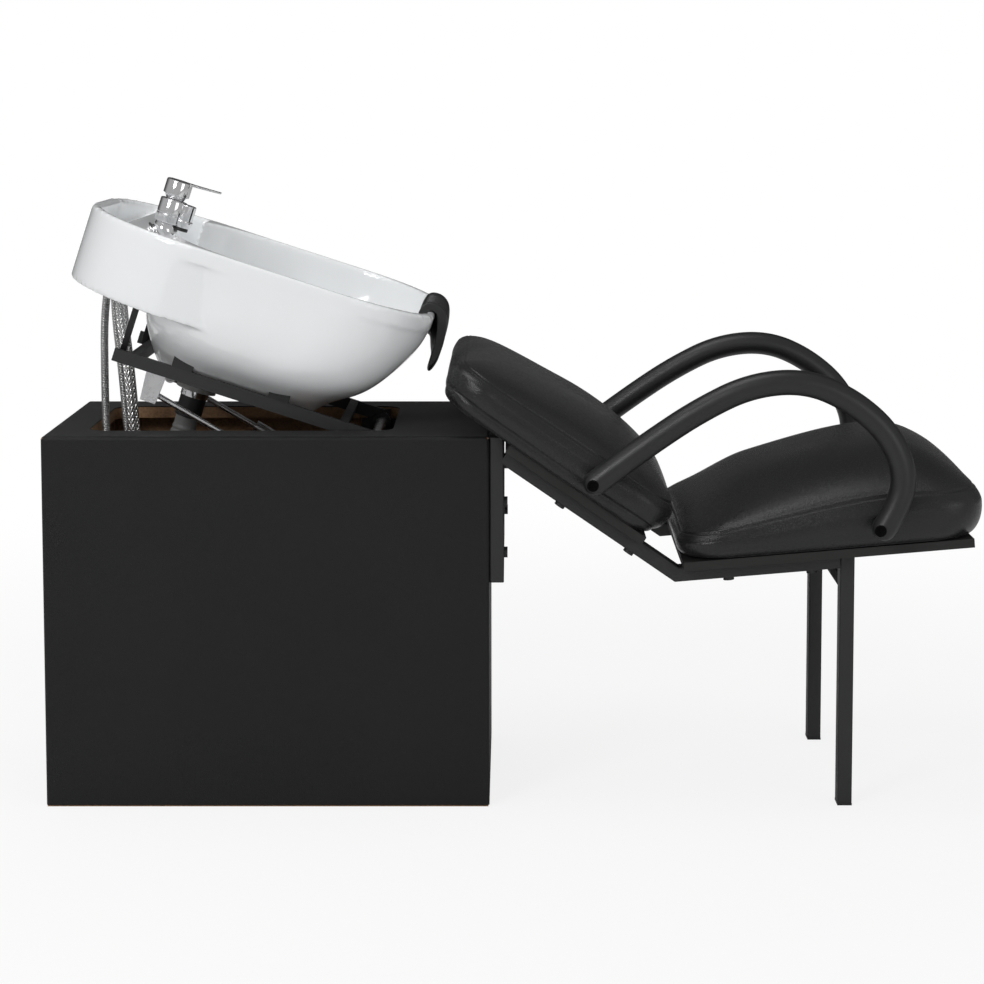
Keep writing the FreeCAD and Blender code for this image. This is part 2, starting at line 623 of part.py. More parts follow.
def basin():
    rim = size.rim_height
    wall = size.basin_wall
    wide = size.basin_width
    outer = bowl(0)
    apron_low = rim - size.apron_drop
    beyond = -size.basin_rear - wide
    half = wide / 2
    blend = half - APRON_TAPER
    apron = Part.makePolygon([Vector(x, y, apron_low) for x, y in (
        (beyond, -half), (-APRON_BLEND, -half), (-APRON_POINT, -blend), (-APRON_POINT, blend),
        (-APRON_BLEND, half), (beyond, half), (beyond, -half))])
    apron = Part.Face(apron).extrude(Vector(0, 0, size.apron_drop))
    shell = rim_outline(0, apron_low - 1, rim).common(apron)
    shell = shell.fuse([rim_outline(0, rim - size.rim_band, rim), outer])
    peak_x, peak_z = ridge_point(0, 0)
    slope = math.tan(math.radians(size.ridge_slope))
    floor = peak_z - 34
    foot_x = peak_x - 34 / slope
    trough = slab(((beyond, rim + 20), (beyond, floor), (foot_x, floor), (peak_x, peak_z),
                   ridge_point(88, 0), (ridge_point(88, 0)[0], rim + 20)), wide)
    shell = shell.cut(trough.common(rim_outline(wall + 3, floor - 80, rim + 30)))
    shell = shell.cut(bowl(-wall))
    below = wall / math.cos(math.radians(size.ridge_slope))
    under = slab(((beyond, apron_low - 10), (beyond, floor - wall), (foot_x + wall / slope / 2, floor - wall),
                  (peak_x, peak_z - below), ridge_point(75, wall), (-300, apron_low - 10)), wide)
    under = under.common(rim_outline(wall - 1, apron_low - 20, rim)).cut(outer)
    shell = shell.cut(under)
    tap_x, tap_z = ridge_point(TAP_ALONG, 3 * wall)
    shell = shell.cut(Part.makeCylinder(SHANK + 0.3, 6 * wall, Vector(tap_x, 0, tap_z), ridge_normal()))
    shell = shell.cut(Part.makeCylinder(size.drain_radius + 0.3, 80, Vector(-size.drain_x, 0, rim - size.bowl_depth - 40)))
    centre = rim - size.neck_depth + size.neck_radius
    shell = shell.cut(Part.makeCylinder(size.neck_radius, 120, Vector(-60, 0, centre), Vector(1, 0, 0)))
    solids = sorted(shell.Solids, key=lambda piece: piece.Volume)
    return solids[-1].removeSplitter()


NECK_HALF = 88
NECK_FRONT = 16


def neck_rest(ceramic):
    """A rubber saddle over the neck dip: a lip inside the bowl, a crown and a deep front."""
    rim = size.rim_height
    front = size.basin_front + NECK_FRONT
    outside = slab(((size.basin_front - 14, rim - 84), (front - 6, rim - 84), (front, rim - 74), (front - 3, rim + 2),
                    (front - 8, rim + size.neck_pad), (size.basin_front - 30, rim + size.neck_pad),
                    (size.basin_front - 33, rim - 62), (size.basin_front - 26, rim - 64)), NECK_HALF)
    centre = rim - size.neck_depth + size.neck_radius
    dip = Part.makeCylinder(size.neck_radius - size.neck_pad, 160, Vector(-80, 0, centre), Vector(1, 0, 0))
    pieces = outside.cut([ceramic, dip]).Solids
    return sorted(pieces, key=lambda piece: piece.Volume)[-1]


# Tap: a base on the ridge, a body with a spray socket, a turning stem, a lever and the spray head.
TAP_ALONG = 32
SHANK = 13
NUT = 18
NUT_HEIGHT = 12
TAP_LOW = 196
TAP_HIGH = 226
TAP_NECK = 234
BALL = 10
BALL_HEIGHT = 241
CAP = 19
CAP_BORE = 17
CAP_LOW = 236.5
CAP_HIGH = 258
LEVER_BACK = 393
LEVER_TIP = 318
SPRAY_LOW = 195
SPRAY_HIGH = 228
SPRAY_COLLAR = 9
COLLAR_STEP = 1.5
PASSAGE = 100


def tap(place):
    body_x = -size.tap_x
    spray_x = -size.spray_x
    normal = ridge_normal()
    foot = Vector(ridge_point(TAP_ALONG, 0)[0], 0, ridge_point(TAP_ALONG, 0)[1])
    barrel = Part.makeCylinder(size.tap_radius, TAP_HIGH - TAP_LOW, Vector(body_x, 0, TAP_LOW))
    shoulder = Part.makeCone(size.tap_radius, 12, TAP_NECK - TAP_HIGH, Vector(body_x, 0, TAP_HIGH))
    socket = Part.makeCylinder(size.spray_radius + 3, 26, Vector(spray_x, 0, SPRAY_HIGH + 2 - 26 + 3))
    bore = Part.makeCylinder(size.spray_radius + 0.3, 26, Vector(spray_x, 0, SPRAY_HIGH + 2 - 26))
    passage_top = SPRAY_LOW + SPRAY_COLLAR + 0.3
    passage = Part.makeCylinder(size.spray_radius + COLLAR_STEP + 0.3, PASSAGE,
                                Vector(spray_x, 0, passage_top - PASSAGE))
    body = barrel.fuse([shoulder, socket]).cut([bore, passage]).removeSplitter()
    feature("tap_body", body, place)
    flange = Part.makeCone(20, 15, 9, foot, normal)
    neck = Part.makeCylinder(12, 40, foot, normal)
    keep = Part.makeCylinder(60, 80, Vector(body_x, 0, TAP_LOW - 60), AXIS_Z)
    base = flange.fuse(neck).common(keep).cut([barrel, socket, bore, passage])
    base = sorted(base.Solids, key=lambda piece: piece.Volume)[-1]
    shank = Part.makeCylinder(SHANK, size.basin_wall + NUT_HEIGHT, foot - normal * (size.basin_wall + NUT_HEIGHT), normal)
    feature("tap_base", base.fuse(shank).removeSplitter(), place)
    nut_foot = foot - normal * (size.basin_wall + NUT_HEIGHT)
    nut = Part.makeCylinder(NUT, NUT_HEIGHT, nut_foot, normal).cut(shank)
    feature("tap_nut", nut, place)
    stem = Part.makeCylinder(6, BALL_HEIGHT - TAP_NECK, Vector(body_x, 0, TAP_NECK))
    feature("tap_stem", stem.fuse(Part.makeSphere(BALL, Vector(body_x, 0, BALL_HEIGHT))).cut(
        Part.makeBox(60, 60, 60, Vector(body_x - 30, -30, TAP_NECK - 60))), place)
    cap = Part.makeCylinder(CAP, CAP_HIGH - CAP_LOW, Vector(body_x, 0, CAP_LOW))
    cavity = Part.makeCylinder(CAP_BORE, BALL_HEIGHT + BALL + 0.3 - CAP_LOW, Vector(body_x, 0, CAP_LOW))
    blade = [Vector(-LEVER_BACK, -11, CAP_HIGH - 4), Vector(-LEVER_TIP, -7, CAP_HIGH - 4),
             Vector(-LEVER_TIP, 7, CAP_HIGH - 4), Vector(-LEVER_BACK, 11, CAP_HIGH - 4)]
    paddle = Part.Face(rounded(blade, (8, 6, 6, 8))).extrude(Vector(0, 0, 4))
    feature("tap_lever", cap.fuse(paddle).cut(cavity).removeSplitter(), place)
    head = Part.makeCylinder(size.spray_radius, SPRAY_HIGH - SPRAY_LOW, Vector(spray_x, 0, SPRAY_LOW))
    collar = Part.makeCone(size.spray_radius - 0.5, size.spray_radius + COLLAR_STEP, SPRAY_COLLAR,
                           Vector(spray_x, 0, SPRAY_LOW))
    feature("spray_head", head.fuse(collar).removeSplitter(), place)
    feature("spray_ring", Part.makeCylinder(size.spray_radius - 1, 5, Vector(spray_x, 0, SPRAY_LOW - 5)), place)


# Drain: a strainer flange in the bowl, a lock nut under it and a tail pipe.
STRAINER_HOLE = 3.2
FLANGE = 27


def drain(place):
    low = size.rim_height - size.bowl_depth
    inside = low + size.basin_wall
    middle = Vector(-size.drain_x, 0, 0)
    tube = Part.makeCylinder(size.drain_radius, inside - low + 24, middle + AXIS_Z * (low - 24))
    bore = Part.makeCylinder(size.drain_radius - 3, inside - low + 24, middle + AXIS_Z * (low - 24))
    plate = Part.makeCylinder(FLANGE, 3, middle + AXIS_Z * inside)
    holes = [Part.makeCylinder(STRAINER_HOLE, 9, middle + AXIS_Z * (inside - 3))]
    for k in range(6):
        angle = math.radians(60 * k)
        offset = Vector(math.cos(angle), math.sin(angle), 0) * 10
        holes.append(holes[0].translated(offset))
    feature("drain_flange", tube.cut(bore).fuse(plate).cut(holes).removeSplitter(), place)
    nut = Part.makeCylinder(FLANGE + 2, 14, middle + AXIS_Z * (low - 14)).cut(
        Part.makeCylinder(size.drain_radius + size.running_fit, 14, middle + AXIS_Z * (low - 14)))
    feature("drain_nut", nut, place)
    tail = Part.makeCylinder(size.drain_radius - 1, 30, middle + AXIS_Z * (low - 54)).cut(
        Part.makeCylinder(size.drain_radius - 4, 30, middle + AXIS_Z * (low - 54)))
    feature("drain_tail", tail, place)


# Tilt frame: two bars on the hinge rod, cross bars, uprights to the deck, and strut clevises.
UPRIGHT_REAR = 392
UPRIGHT = 22
STRAP = 4
STRAP_FOOT = 24
FOOT_GAP = 8
CROSS = 12
CROSS_REAR = 360
CROSS_FRONT = 54
HUB_STEP = 5
HUB_GAP = 0.3


def tilt_frame(place, ceramic, swollen):
    half = size.arm_bar / 2
    inner = size.arm_bar_y - half
    outer = size.arm_bar_y + half
    pads = []
    clevises = []
    straps = []
    bore = across(0, -size.basin_width / 2, 0, size.hinge_radius + size.running_fit, size.basin_width)
    hub_low = inner - HUB_STEP
    hub_high = size.opening_width / 2 - PLATE_INSET - PLATE - HUB_GAP
    for name, side in SIDES:
        bar = slab(((-size.arm_bar_length, 0), (0, 0), (0, size.arm_bar_height),
                    (-size.arm_bar_length, size.arm_bar_height)), half).translated(AXIS_Y * side * size.arm_bar_y)
        hub = across(0, hub_low, 0, size.hub_radius, hub_high - hub_low)
        hub = hub if side == FAR else mirror_y(hub)
        feature(f"tilt_bar_{name}", bar.fuse(hub).cut(bore).removeSplitter(), place)
        for start in (-300, -160):
            pad = Part.makeBox(30, size.arm_bar + 2, 16, Vector(start, inner - 1, size.arm_bar_height))
            pads.append((pad if side == FAR else mirror_y(pad)).cut(swollen))
        plate = slab(((-size.clevis_x - 14, 0), (-size.clevis_x - 11, -size.clevis_drop - 10),
                      (-size.clevis_x + 11, -size.clevis_drop - 10), (-size.clevis_x + 14, 0)), half)
        pin = across(-size.clevis_x, size.strut_y - 8, -size.clevis_drop, size.strut_pin, outer - size.strut_y + 8)
        pin = pin if side == FAR else mirror_y(pin)
        clevises.append(plate.translated(AXIS_Y * side * size.arm_bar_y).fuse(pin).removeSplitter())
        deck = size.rim_height - size.ridge_drop - 34 - size.basin_wall
        strap = Part.makeBox(UPRIGHT, STRAP, deck - FOOT_GAP, Vector(-UPRIGHT_REAR, inner - STRAP, 0))
        foot = Part.makeBox(UPRIGHT, STRAP_FOOT, STRAP,
                            Vector(-UPRIGHT_REAR, inner - STRAP, deck - FOOT_GAP - STRAP))
        strap = strap.fuse(foot).removeSplitter()
        straps.append(strap if side == FAR else mirror_y(strap))
        cap = Part.makeBox(UPRIGHT, STRAP_FOOT, size.rim_height - deck,
                           Vector(-UPRIGHT_REAR, inner - STRAP, deck - FOOT_GAP))
        cap = (cap if side == FAR else mirror_y(cap)).cut(ceramic)
        pads.append(sorted(cap.Solids, key=lambda piece: piece.CenterOfMass.z)[0])
    feature("strut_clevises", Part.makeCompound(clevises), place)
    crosses = [Part.makeBox(CROSS, 2 * inner, size.arm_bar_height, Vector(x, -inner, 0))
               for x in (-CROSS_REAR, -CROSS_FRONT)]
    feature("tilt_cross_bars", Part.makeCompound(crosses), place)
    feature("basin_pads", Part.makeCompound(pads), place)
    feature("basin_uprights", Part.makeCompound(straps), place)


# Gas struts: a cylinder on the lower pin, and a rod whose eye goes round the clevis pin.
def struts(place):
    low = Vector(size.strut_low_x, 0, size.strut_low_z)
    high = place.multVec(Vector(-size.clevis_x, 0, -size.clevis_drop))
    length = (high - low).Length
    lean = math.degrees(math.atan2(high.z - low.z, low.x - high.x))
    for name, side in SIDES:
        seat_place = Placement(low + AXIS_Y * side * size.strut_y, Rotation(AXIS_Y, 180 + lean))
        barrel = Part.makeCylinder(size.strut_radius, 140, Vector(16, 0, 0), Vector(1, 0, 0))
        neck = Part.makeCylinder(5, 12, Vector(6, 0, 0), Vector(1, 0, 0))
        eye = across(0, -5, 0, 9, 10)
        hole = across(0, -5, 0, size.strut_pin + size.running_fit, 10)
        bore = Part.makeCylinder(size.rod_radius + size.running_fit, 86, Vector(70, 0, 0), Vector(1, 0, 0))
        feature(f"strut_cylinder_{name}", barrel.fuse([neck, eye]).cut([hole, bore]).removeSplitter(), seat_place)
        clear = size.strut_pin + size.eye_clearance
        rod = Part.makeCylinder(size.rod_radius, length - 6 - 120, Vector(120, 0, 0), Vector(1, 0, 0))
        ring = across(length, -5, 0, clear + 3, 10)
        ring_hole = across(length, -5, 0, clear, 10)
        feature(f"strut_rod_{name}", rod.fuse(ring).cut(ring_hole).removeSplitter(), seat_place)


# Hoses: routes in the rest pose, chosen by hand from under the tap into the cabinet.
HOSE_SPREAD = 8.5
SUPPLY_RADIUS = 13.5
SUPPLY_NUT = 20
SUPPLY_BORE = 9.3
SUPPLY_DEPTH = 12
SHOWER_ROUTE = ((-580, -34, 690), (-579, -46, 560), (-575, -54, 430), (-573, -60, 310), (-572, -62, 180),
                (-570, -64, 40), (-562, 62, 40), (-560, 64, 180), (-559, 62, 310), (-560, 56, 430),
                (-566, 44, 560), (-578, 32, 690))
HOT_ROUTE = ((-566, -16, 690), (-548, -22, 580), (-541, -26, 430), (-543, -28, 280), (-543, -28, 150))
COLD_ROUTE = ((-562, 14, 690), (-550, 18, 580), (-540, 22, 430), (-534, 24, 280), (-534, 24, 150))


def hose_radii(points):
    radii = []
    for k in range(1, len(points) - 1):
        back, ahead = points[k - 1] - points[k], points[k + 1] - points[k]
        turn = math.pi - back.getAngle(ahead)
        radii.append(0.45 * min(back.Length, ahead.Length) / math.tan(turn / 2))
    return radii


def hose(label, points):
    radii = hose_radii(points)
    wire = path(points, radii)
    shape = sweep(wire, points[0], points[1] - points[0], size.hose_diameter / 2)
    section = math.pi * size.hose_diameter ** 2 / 4
    print(label, "radii", [round(radius) for radius in radii],
          "volume ratio", round(shape.Volume / (section * wire.Length), 4), "length", round(wire.Length))
    feature(label, shape)


def hoses(place):
    normal = ridge_normal()
    foot = Vector(ridge_point(TAP_ALONG, 0)[0], 0, ridge_point(TAP_ALONG, 0)[1])
    face = foot - normal * (size.basin_wall + NUT_HEIGHT)
    along = normal.cross(AXIS_Y)

    def start(side, up):
        point = face + AXIS_Y * side * HOSE_SPREAD + along * up * HOSE_SPREAD
        return [place.multVec(point), place.multVec(point - normal * 36)]

    hose("shower_hose", start(NEAR, 1) + [Vector(*p) for p in SHOWER_ROUTE] + start(FAR, 1)[::-1])
    ends = []
    for label, side, route in (("hot_hose", NEAR, HOT_ROUTE), ("cold_hose", FAR, COLD_ROUTE)):
        points = start(side, -1) + [Vector(*p) for p in route]
        hose(label, points)
        run = (points[-1] - points[-2]).normalize()
        bore = Part.makeCylinder(SUPPLY_BORE, SUPPLY_DEPTH, points[-1] + run * (SUPPLY_NUT - SUPPLY_DEPTH), run)
        ends.append(Part.makeCylinder(SUPPLY_RADIUS, SUPPLY_NUT, points[-1], run).cut(bore))
    feature("hose_nuts", Part.makeCompound(ends))


RIB_PITCH = 8
RIB_DEPTH = 2.6
HOSE_WALL = 1.6
DRAIN_RUN = 330


def drain_hose(place):
    """A ribbed hose that leaves the tail pipe on its axis and bends to hang straight."""
    low = size.rim_height - size.bowl_depth - 54
    start = place.multVec(Vector(-size.drain_x, 0, low))
    lean = math.radians(size.rest_tilt)
    straighten = 120
    count = int(DRAIN_RUN / RIB_PITCH)
    outer = size.drain_hose_radius
    rings = []
    position = start
    for k in range(4 * count + 1):
        travelled = k * RIB_PITCH / 4
        angle = lean * max(0, 1 - travelled / straighten)
        direction = Vector(-math.sin(angle), 0, -math.cos(angle))
        radius = outer - RIB_DEPTH * (1 if k % 4 in (0, 3) else 0)
        if k < 8 or k > 4 * count - 8:
            radius = outer - RIB_DEPTH
        circle = Part.Circle(position, direction, radius)
        circle.XAxis = AXIS_Y
        rings.append((Part.Wire(circle.toShape()), position, direction))
        position = position + direction * RIB_PITCH / 4
    skin = Part.makeLoft([ring for ring, spot, way in rings], True, True)
    inner = []
    for ring, spot, way in rings[::4]:
        circle = Part.Circle(spot, way, outer - RIB_DEPTH - HOSE_WALL)
        circle.XAxis = AXIS_Y
        inner.append(Part.Wire(circle.toShape()))
    bore = Part.makeLoft(inner, True, True)
    feature("drain_hose", skin.cut(bore))


def main():
    cabinet()
    hinge()
    strut_rail()
    chair_frame()
    frame_bolts()
    seat()
    back()
    arms()
    place = Placement(Vector(size.pivot_x, 0, size.pivot_z), Rotation(AXIS_Y, size.rest_tilt))
    ceramic = basin()
    feature("basin", ceramic, place)
    feature("neck_rest", neck_rest(ceramic), place)
    tilt_frame(place, ceramic, bowl(0.3))
    tap(place)
    drain(place)
    struts(place)
    hoses(place)
    drain_hose(place)
    doc.recompute()
    for item in doc.Objects:
        if "Invalid" in item.State or "Error" in item.State:
            raise RuntimeError(f"{item.Label}: {item.State}")
    for item in nodes:
        if item.Shape.isNull() or not item.Shape.isValid() or not item.Shape.Solids:
            raise RuntimeError(f"{item.Label}: bad shape")
    os.makedirs("parts", exist_ok=True)
    for item in nodes:
        item.Shape.exportStep(f"parts/{item.Label}.step")
    print(len(nodes), "nodes")


main()
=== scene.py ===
"""Looks of the shampoo chair: upholstery, glaze, chrome, hoses and a plain studio.

Metres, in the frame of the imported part: +X to the front of the seat, +Y away from the camera, +Z up.
"""

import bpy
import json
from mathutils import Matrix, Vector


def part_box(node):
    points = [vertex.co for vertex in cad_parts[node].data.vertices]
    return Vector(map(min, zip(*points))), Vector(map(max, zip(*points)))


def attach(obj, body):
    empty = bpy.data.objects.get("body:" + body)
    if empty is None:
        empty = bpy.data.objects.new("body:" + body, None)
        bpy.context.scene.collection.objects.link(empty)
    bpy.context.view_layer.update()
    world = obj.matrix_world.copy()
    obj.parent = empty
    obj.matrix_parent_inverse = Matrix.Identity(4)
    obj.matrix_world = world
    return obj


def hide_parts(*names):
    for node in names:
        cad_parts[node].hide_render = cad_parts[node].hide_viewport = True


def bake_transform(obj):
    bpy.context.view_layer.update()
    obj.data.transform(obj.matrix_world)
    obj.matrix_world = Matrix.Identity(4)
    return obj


bl_info = {
    "name": "Shampoo chair",
    "version": (1, 0, 0),
    "blender": (4, 5, 0),
    "location": "3D View > Sidebar > Shampoo chair",
    "description": "Dresses the shampoo chair with upholstery, glaze, chrome, hoses and a plain studio",
    "category": "Object",
}
import json
import math
from dataclasses import dataclass
from typing import Callable

import bmesh
import bpy
import numpy as np
from bpy.props import FloatProperty, FloatVectorProperty, IntProperty, PointerProperty
from mathutils import Vector

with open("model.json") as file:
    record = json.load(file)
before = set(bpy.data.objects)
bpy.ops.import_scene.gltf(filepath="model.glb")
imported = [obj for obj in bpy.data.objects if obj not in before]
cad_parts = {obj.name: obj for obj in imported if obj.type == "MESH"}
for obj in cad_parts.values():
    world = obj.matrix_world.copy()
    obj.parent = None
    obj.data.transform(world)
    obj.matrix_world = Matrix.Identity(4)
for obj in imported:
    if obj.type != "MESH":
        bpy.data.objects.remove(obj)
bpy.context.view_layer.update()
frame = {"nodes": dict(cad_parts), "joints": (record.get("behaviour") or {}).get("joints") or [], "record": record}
NODES = frame["nodes"]
JOINTS = {joint["name"]: joint for joint in frame["joints"]}
PIVOT = np.array(JOINTS["basin_tilt"]["pos_m"])
REST_TILT = math.radians(-JOINTS["basin_tilt"]["range_deg"][0])
SEAT_SLOPE = math.radians(4.8)
BACK_SLOPE = math.radians(34.5)
BEND = np.array((0.224, 0.0, 0.3135))
SIDES = (("near", -1), ("far", 1))
ACROSS = np.array((0.0, 1.0, 0.0))
WHITE = (1.0, 1.0, 1.0, 1.0)


# Properties: what a user would change.
class ChairSizes(bpy.types.PropertyGroup):
    """Sizes of the dressed pieces."""
    seam_depth: FloatProperty(name="Seam depth", description="Groove of a cushion's seam", default=0.0011,
                              unit="LENGTH")
    cushion_columns: IntProperty(name="Cushion columns", description="Points round a cushion", default=200)
    swell: FloatProperty(name="Swell", description="Most that the foam may push a cover out", default=0.006,
                         unit="LENGTH")
    tube_corner: FloatProperty(name="Tube corner", description="Outer corner radius of the frame tube",
                               default=0.0028, unit="LENGTH")
    glaze_voxel: FloatProperty(name="Glaze voxel", description="Mesh size of the basin", default=0.0034,
                               unit="LENGTH")
    hose_sides: IntProperty(name="Hose sides", description="Points round a hose", default=20)


class ChairColours(bpy.types.PropertyGroup):
    """Colours of the finishes, as linear values."""
    vinyl: FloatVectorProperty(name="Vinyl", description="Leatherette", default=(0.0072, 0.0072, 0.0075),
                               subtype="COLOR")
    metal: FloatVectorProperty(name="Metal", description="Powder-coated tube",
                               default=(0.0105, 0.0105, 0.011), subtype="COLOR")
    glaze: FloatVectorProperty(name="Glaze", description="Glazed basin", default=(0.84, 0.855, 0.865),
                               subtype="COLOR")
    board: FloatVectorProperty(name="Board", description="Bare chipboard", default=(0.27, 0.155, 0.08),
                               subtype="COLOR")
    foam: FloatVectorProperty(name="Foam", description="Self-skinned foam of the arms",
                              default=(0.009, 0.009, 0.0095), subtype="COLOR")
    drain: FloatVectorProperty(name="Drain", description="Drain plastic", default=(0.34, 0.34, 0.335),
                               subtype="COLOR")
    floor: FloatVectorProperty(name="Floor", description="Studio floor", default=(0.86, 0.86, 0.86),
                               subtype="COLOR")


def sizes():
    return bpy.context.scene.chair_sizes


def colours():
    return bpy.context.scene.chair_colours


# Shader maths: a wrapped socket, a graph that adds nodes, and a material made with it.
class Wire:
    """A socket whose arithmetic adds Math nodes."""

    def __init__(self, graph, socket):
        self.graph = graph
        self.socket = socket

    def maths(self, operation, *values):
        return self.graph.node("Math", {"operation": operation}, dict(enumerate(values)))

    def __add__(self, other):
        return self.maths("ADD", self, other)

    def __sub__(self, other):
        return self.maths("SUBTRACT", self, other)

    def __rsub__(self, other):
        return self.maths("SUBTRACT", other, self)

    def __mul__(self, other):
        return self.maths("MULTIPLY", self, other)

    def sine(self):
        return self.maths("SINE", self)

    def larger(self, other):
        return self.maths("MAXIMUM", self, other)

    def between(self, low, high):
        """0 at low, 1 at high, eased and clamped."""
        inputs = {"Value": self, "From Min": low, "From Max": high}
        return self.graph.node("MapRange", {"interpolation_type": "SMOOTHSTEP"}, inputs)

    def sibling(self, output):
        """Another output of the same node."""
        return Wire(self.graph, self.socket.node.outputs[output])

    __radd__ = __add__
    __rmul__ = __mul__


class Graph:
    """A node tree that grows by one node at a time."""

    def __init__(self, tree):
        self.tree = tree

    def feed(self, socket, value):
        if isinstance(value, Wire):
            self.tree.links.new(value.socket, socket)
        else:
            socket.default_value = value

    def node(self, kind, settings=None, inputs=None, output=0):
        made = self.tree.nodes.new("ShaderNode" + kind)
        for key, value in (settings or {}).items():
            setattr(made, key, value)
        for key, value in (inputs or {}).items():
            self.feed(made.inputs[key], value)
        return Wire(self, made.outputs[output])


class Finish(Graph):
    """A material under construction, with one Principled shader."""

    def __init__(self, name):
        self.material = bpy.data.materials.new(name)
        self.material.use_nodes = True
        super().__init__(self.material.node_tree)
        self.tree.nodes.clear()
        self.shader = self.tree.nodes.new("ShaderNodeBsdfPrincipled")
        self.output = self.tree.nodes.new("ShaderNodeOutputMaterial")
        self.tree.links.new(self.shader.outputs[0], self.output.inputs[0])

    def place(self, scale=(1, 1, 1)):
        """Object coordinates, stretched by a scale."""
        where = self.node("TexCoord", output="Object")
        return self.node("Mapping", None, {"Vector": where, "Scale": scale})

    def noise(self, scale, detail=3.0, where=None):
        inputs = {"Vector": where or self.place(), "Scale": scale, "Detail": detail}
        return self.node("TexNoise", None, inputs)

    def cells(self, scale):
        return self.node("TexVoronoi", None, {"Vector": self.place(), "Scale": scale}, "Distance")

    def blend(self, first, second, share):
        """A colour between two colours."""
        return self.node("Mix", {"data_type": "RGBA"}, {0: share, 6: first, 7: second}, 2)

    def bump(self, height, distance, strength=1.0):
        inputs = {"Height": height, "Distance": distance, "Strength": strength}
        self.feed(self.shader.inputs["Normal"], self.node("Bump", None, inputs))

    def set(self, **values):
        for key, value in values.items():
            self.feed(self.shader.inputs[key.replace("_", " ")], value)


def rgba(colour, gain=1.0):
    return (*(min(1.0, gain * part) for part in colour), 1.0)


def leatherette(name, grain, gloss, shine):
    """Black vinyl: a cell grain, soft creases, and a sheen that varies a little."""
    finish = Finish(name)
    colour = colours().vinyl
    patches = finish.noise(9.0)
    pores = finish.cells(grain)
    creases = finish.noise(grain / 22, 6.0)
    finish.set(Base_Color=finish.blend(rgba(colour, 0.85), rgba(colour, 1.25), patches),
               Roughness=gloss + 0.1 * patches + 0.08 * pores, Specular_IOR_Level=shine, Sheen_Weight=0.04)
    finish.bump(0.7 * pores + 0.5 * creases, 0.00022)
    return finish.material


def powder_coat():
    """Black coat: a fine speckle, and wear that drifts in tone and roughness."""
    finish = Finish("powder_coat")
    colour = colours().metal
    speckle = finish.noise(2600.0, 2.0)
    wear = finish.noise(14.0, 5.0)
    finish.set(Base_Color=finish.blend(rgba(colour, 0.9), rgba(colour, 1.3), wear),
               Roughness=0.46 + 0.12 * wear)
    finish.bump(speckle, 0.00009)
    return finish.material


def glaze():
    """White glaze: a clear coat over a faint orange peel."""
    finish = Finish("basin_glaze")
    colour = colours().glaze
    clouds = finish.noise(5.0, 2.0)
    peel = finish.noise(70.0, 2.0)
    finish.set(Base_Color=finish.blend(rgba(colour, 0.985), rgba(colour, 1.015), clouds),
               Roughness=0.09 + 0.05 * clouds, Coat_Weight=0.35, Coat_Roughness=0.04)
    finish.bump(peel, 0.00012)
    return finish.material


def chrome():
    """Bright plate with faint smears."""
    finish = Finish("chrome_plate")
    smears = finish.noise(45.0, 4.0)
    finish.set(Base_Color=finish.blend((0.72, 0.72, 0.73, 1), (0.82, 0.82, 0.83, 1), smears),
               Roughness=0.05 + 0.07 * smears, Metallic=1.0)
    return finish.material


def zinc_steel(name, scale):
    """Bright steel with a drawn grain along one direction."""
    finish = Finish(name)
    grain = finish.noise(1.0, 4.0, finish.place(scale))
    finish.set(Base_Color=finish.blend((0.5, 0.5, 0.51, 1), (0.68, 0.68, 0.69, 1), grain),
               Roughness=0.2 + 0.16 * grain, Metallic=1.0)
    finish.bump(grain, 0.00004)
    return finish.material


def chipboard():
    """Bare board: flakes of several tones."""
    finish = Finish("chipboard")
    colour = colours().board
    flakes = finish.cells(260.0)
    tone = finish.noise(38.0, 6.0)
    finish.set(Base_Color=finish.blend(rgba(colour, 0.55), rgba(colour, 1.45), 0.55 * flakes + 0.45 * tone),
               Roughness=0.74 + 0.16 * flakes)
    finish.bump(flakes + tone, 0.00035)
    return finish.material


def plywood():
    """Near-black plywood with a faint grain along its length."""
    finish = Finish("near_black_plywood")
    grain = finish.noise(1.0, 7.0, finish.place((12, 160, 160)))
    finish.set(Base_Color=finish.blend((0.007, 0.0065, 0.006, 1), (0.014, 0.013, 0.012, 1), grain),
               Roughness=0.62 + 0.2 * grain)
    finish.bump(grain, 0.0002)
    return finish.material


def moulded(name, colour, rough, grain, shine=0.5):
    """Rubber, foam skin or plastic: fine pores, and a roughness that drifts."""
    finish = Finish(name)
    drift = finish.noise(22.0, 4.0)
    pores = finish.noise(grain, 2.0)
    finish.set(Base_Color=finish.blend(rgba(colour, 0.85), rgba(colour, 1.2), drift),
               Roughness=rough + 0.12 * drift, Specular_IOR_Level=shine)
    finish.bump(pores, 0.00008)
    return finish.material


def spiral_steel(name, pitch, strands):
    """Metal hose: ribs that wind along the hose, or two crossing sets of strands, with painted shade in the
    grooves between them.
    """
    finish = Finish(name)
    around = finish.node("SeparateXYZ", None, {0: finish.node("UVMap")})
    along = around.sibling("Y") * (math.tau / pitch)
    twist = math.tau * strands
    ribs = (along + around * twist).sine()
    if strands > 1:
        ribs = ribs.larger((along - around * twist).sine())
    # Painted shade: this mask is low in the grooves between ribs or strands, where the base colour goes dark
    # (0.3), and high on the crests, which get the bright colour and a lower roughness.
    shade = ribs.between(-0.9, 0.7)
    finish.set(Base_Color=finish.blend((0.3, 0.3, 0.3, 1), (0.84, 0.84, 0.83, 1), shade),
               Roughness=0.36 - 0.12 * shade, Metallic=1.0)
    finish.bump(ribs, 0.0006, 0.8)
    return finish.material


# Mesh helpers.
MERGE = 1e-5


def show(name, mesh, material, smooth=True):
    item = bpy.data.objects.new(name, mesh)
    bpy.context.scene.collection.objects.link(item)
    mesh.materials.append(material)
    if smooth:
        mesh.shade_smooth()
    return item


def dress(item, slot, body, *nodes):
    """Name the solids that a piece stands for, which are hidden, and the body that it moves with; the material
    slot is not used.
    """
    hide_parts(*nodes)
    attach(item, body)
    return item


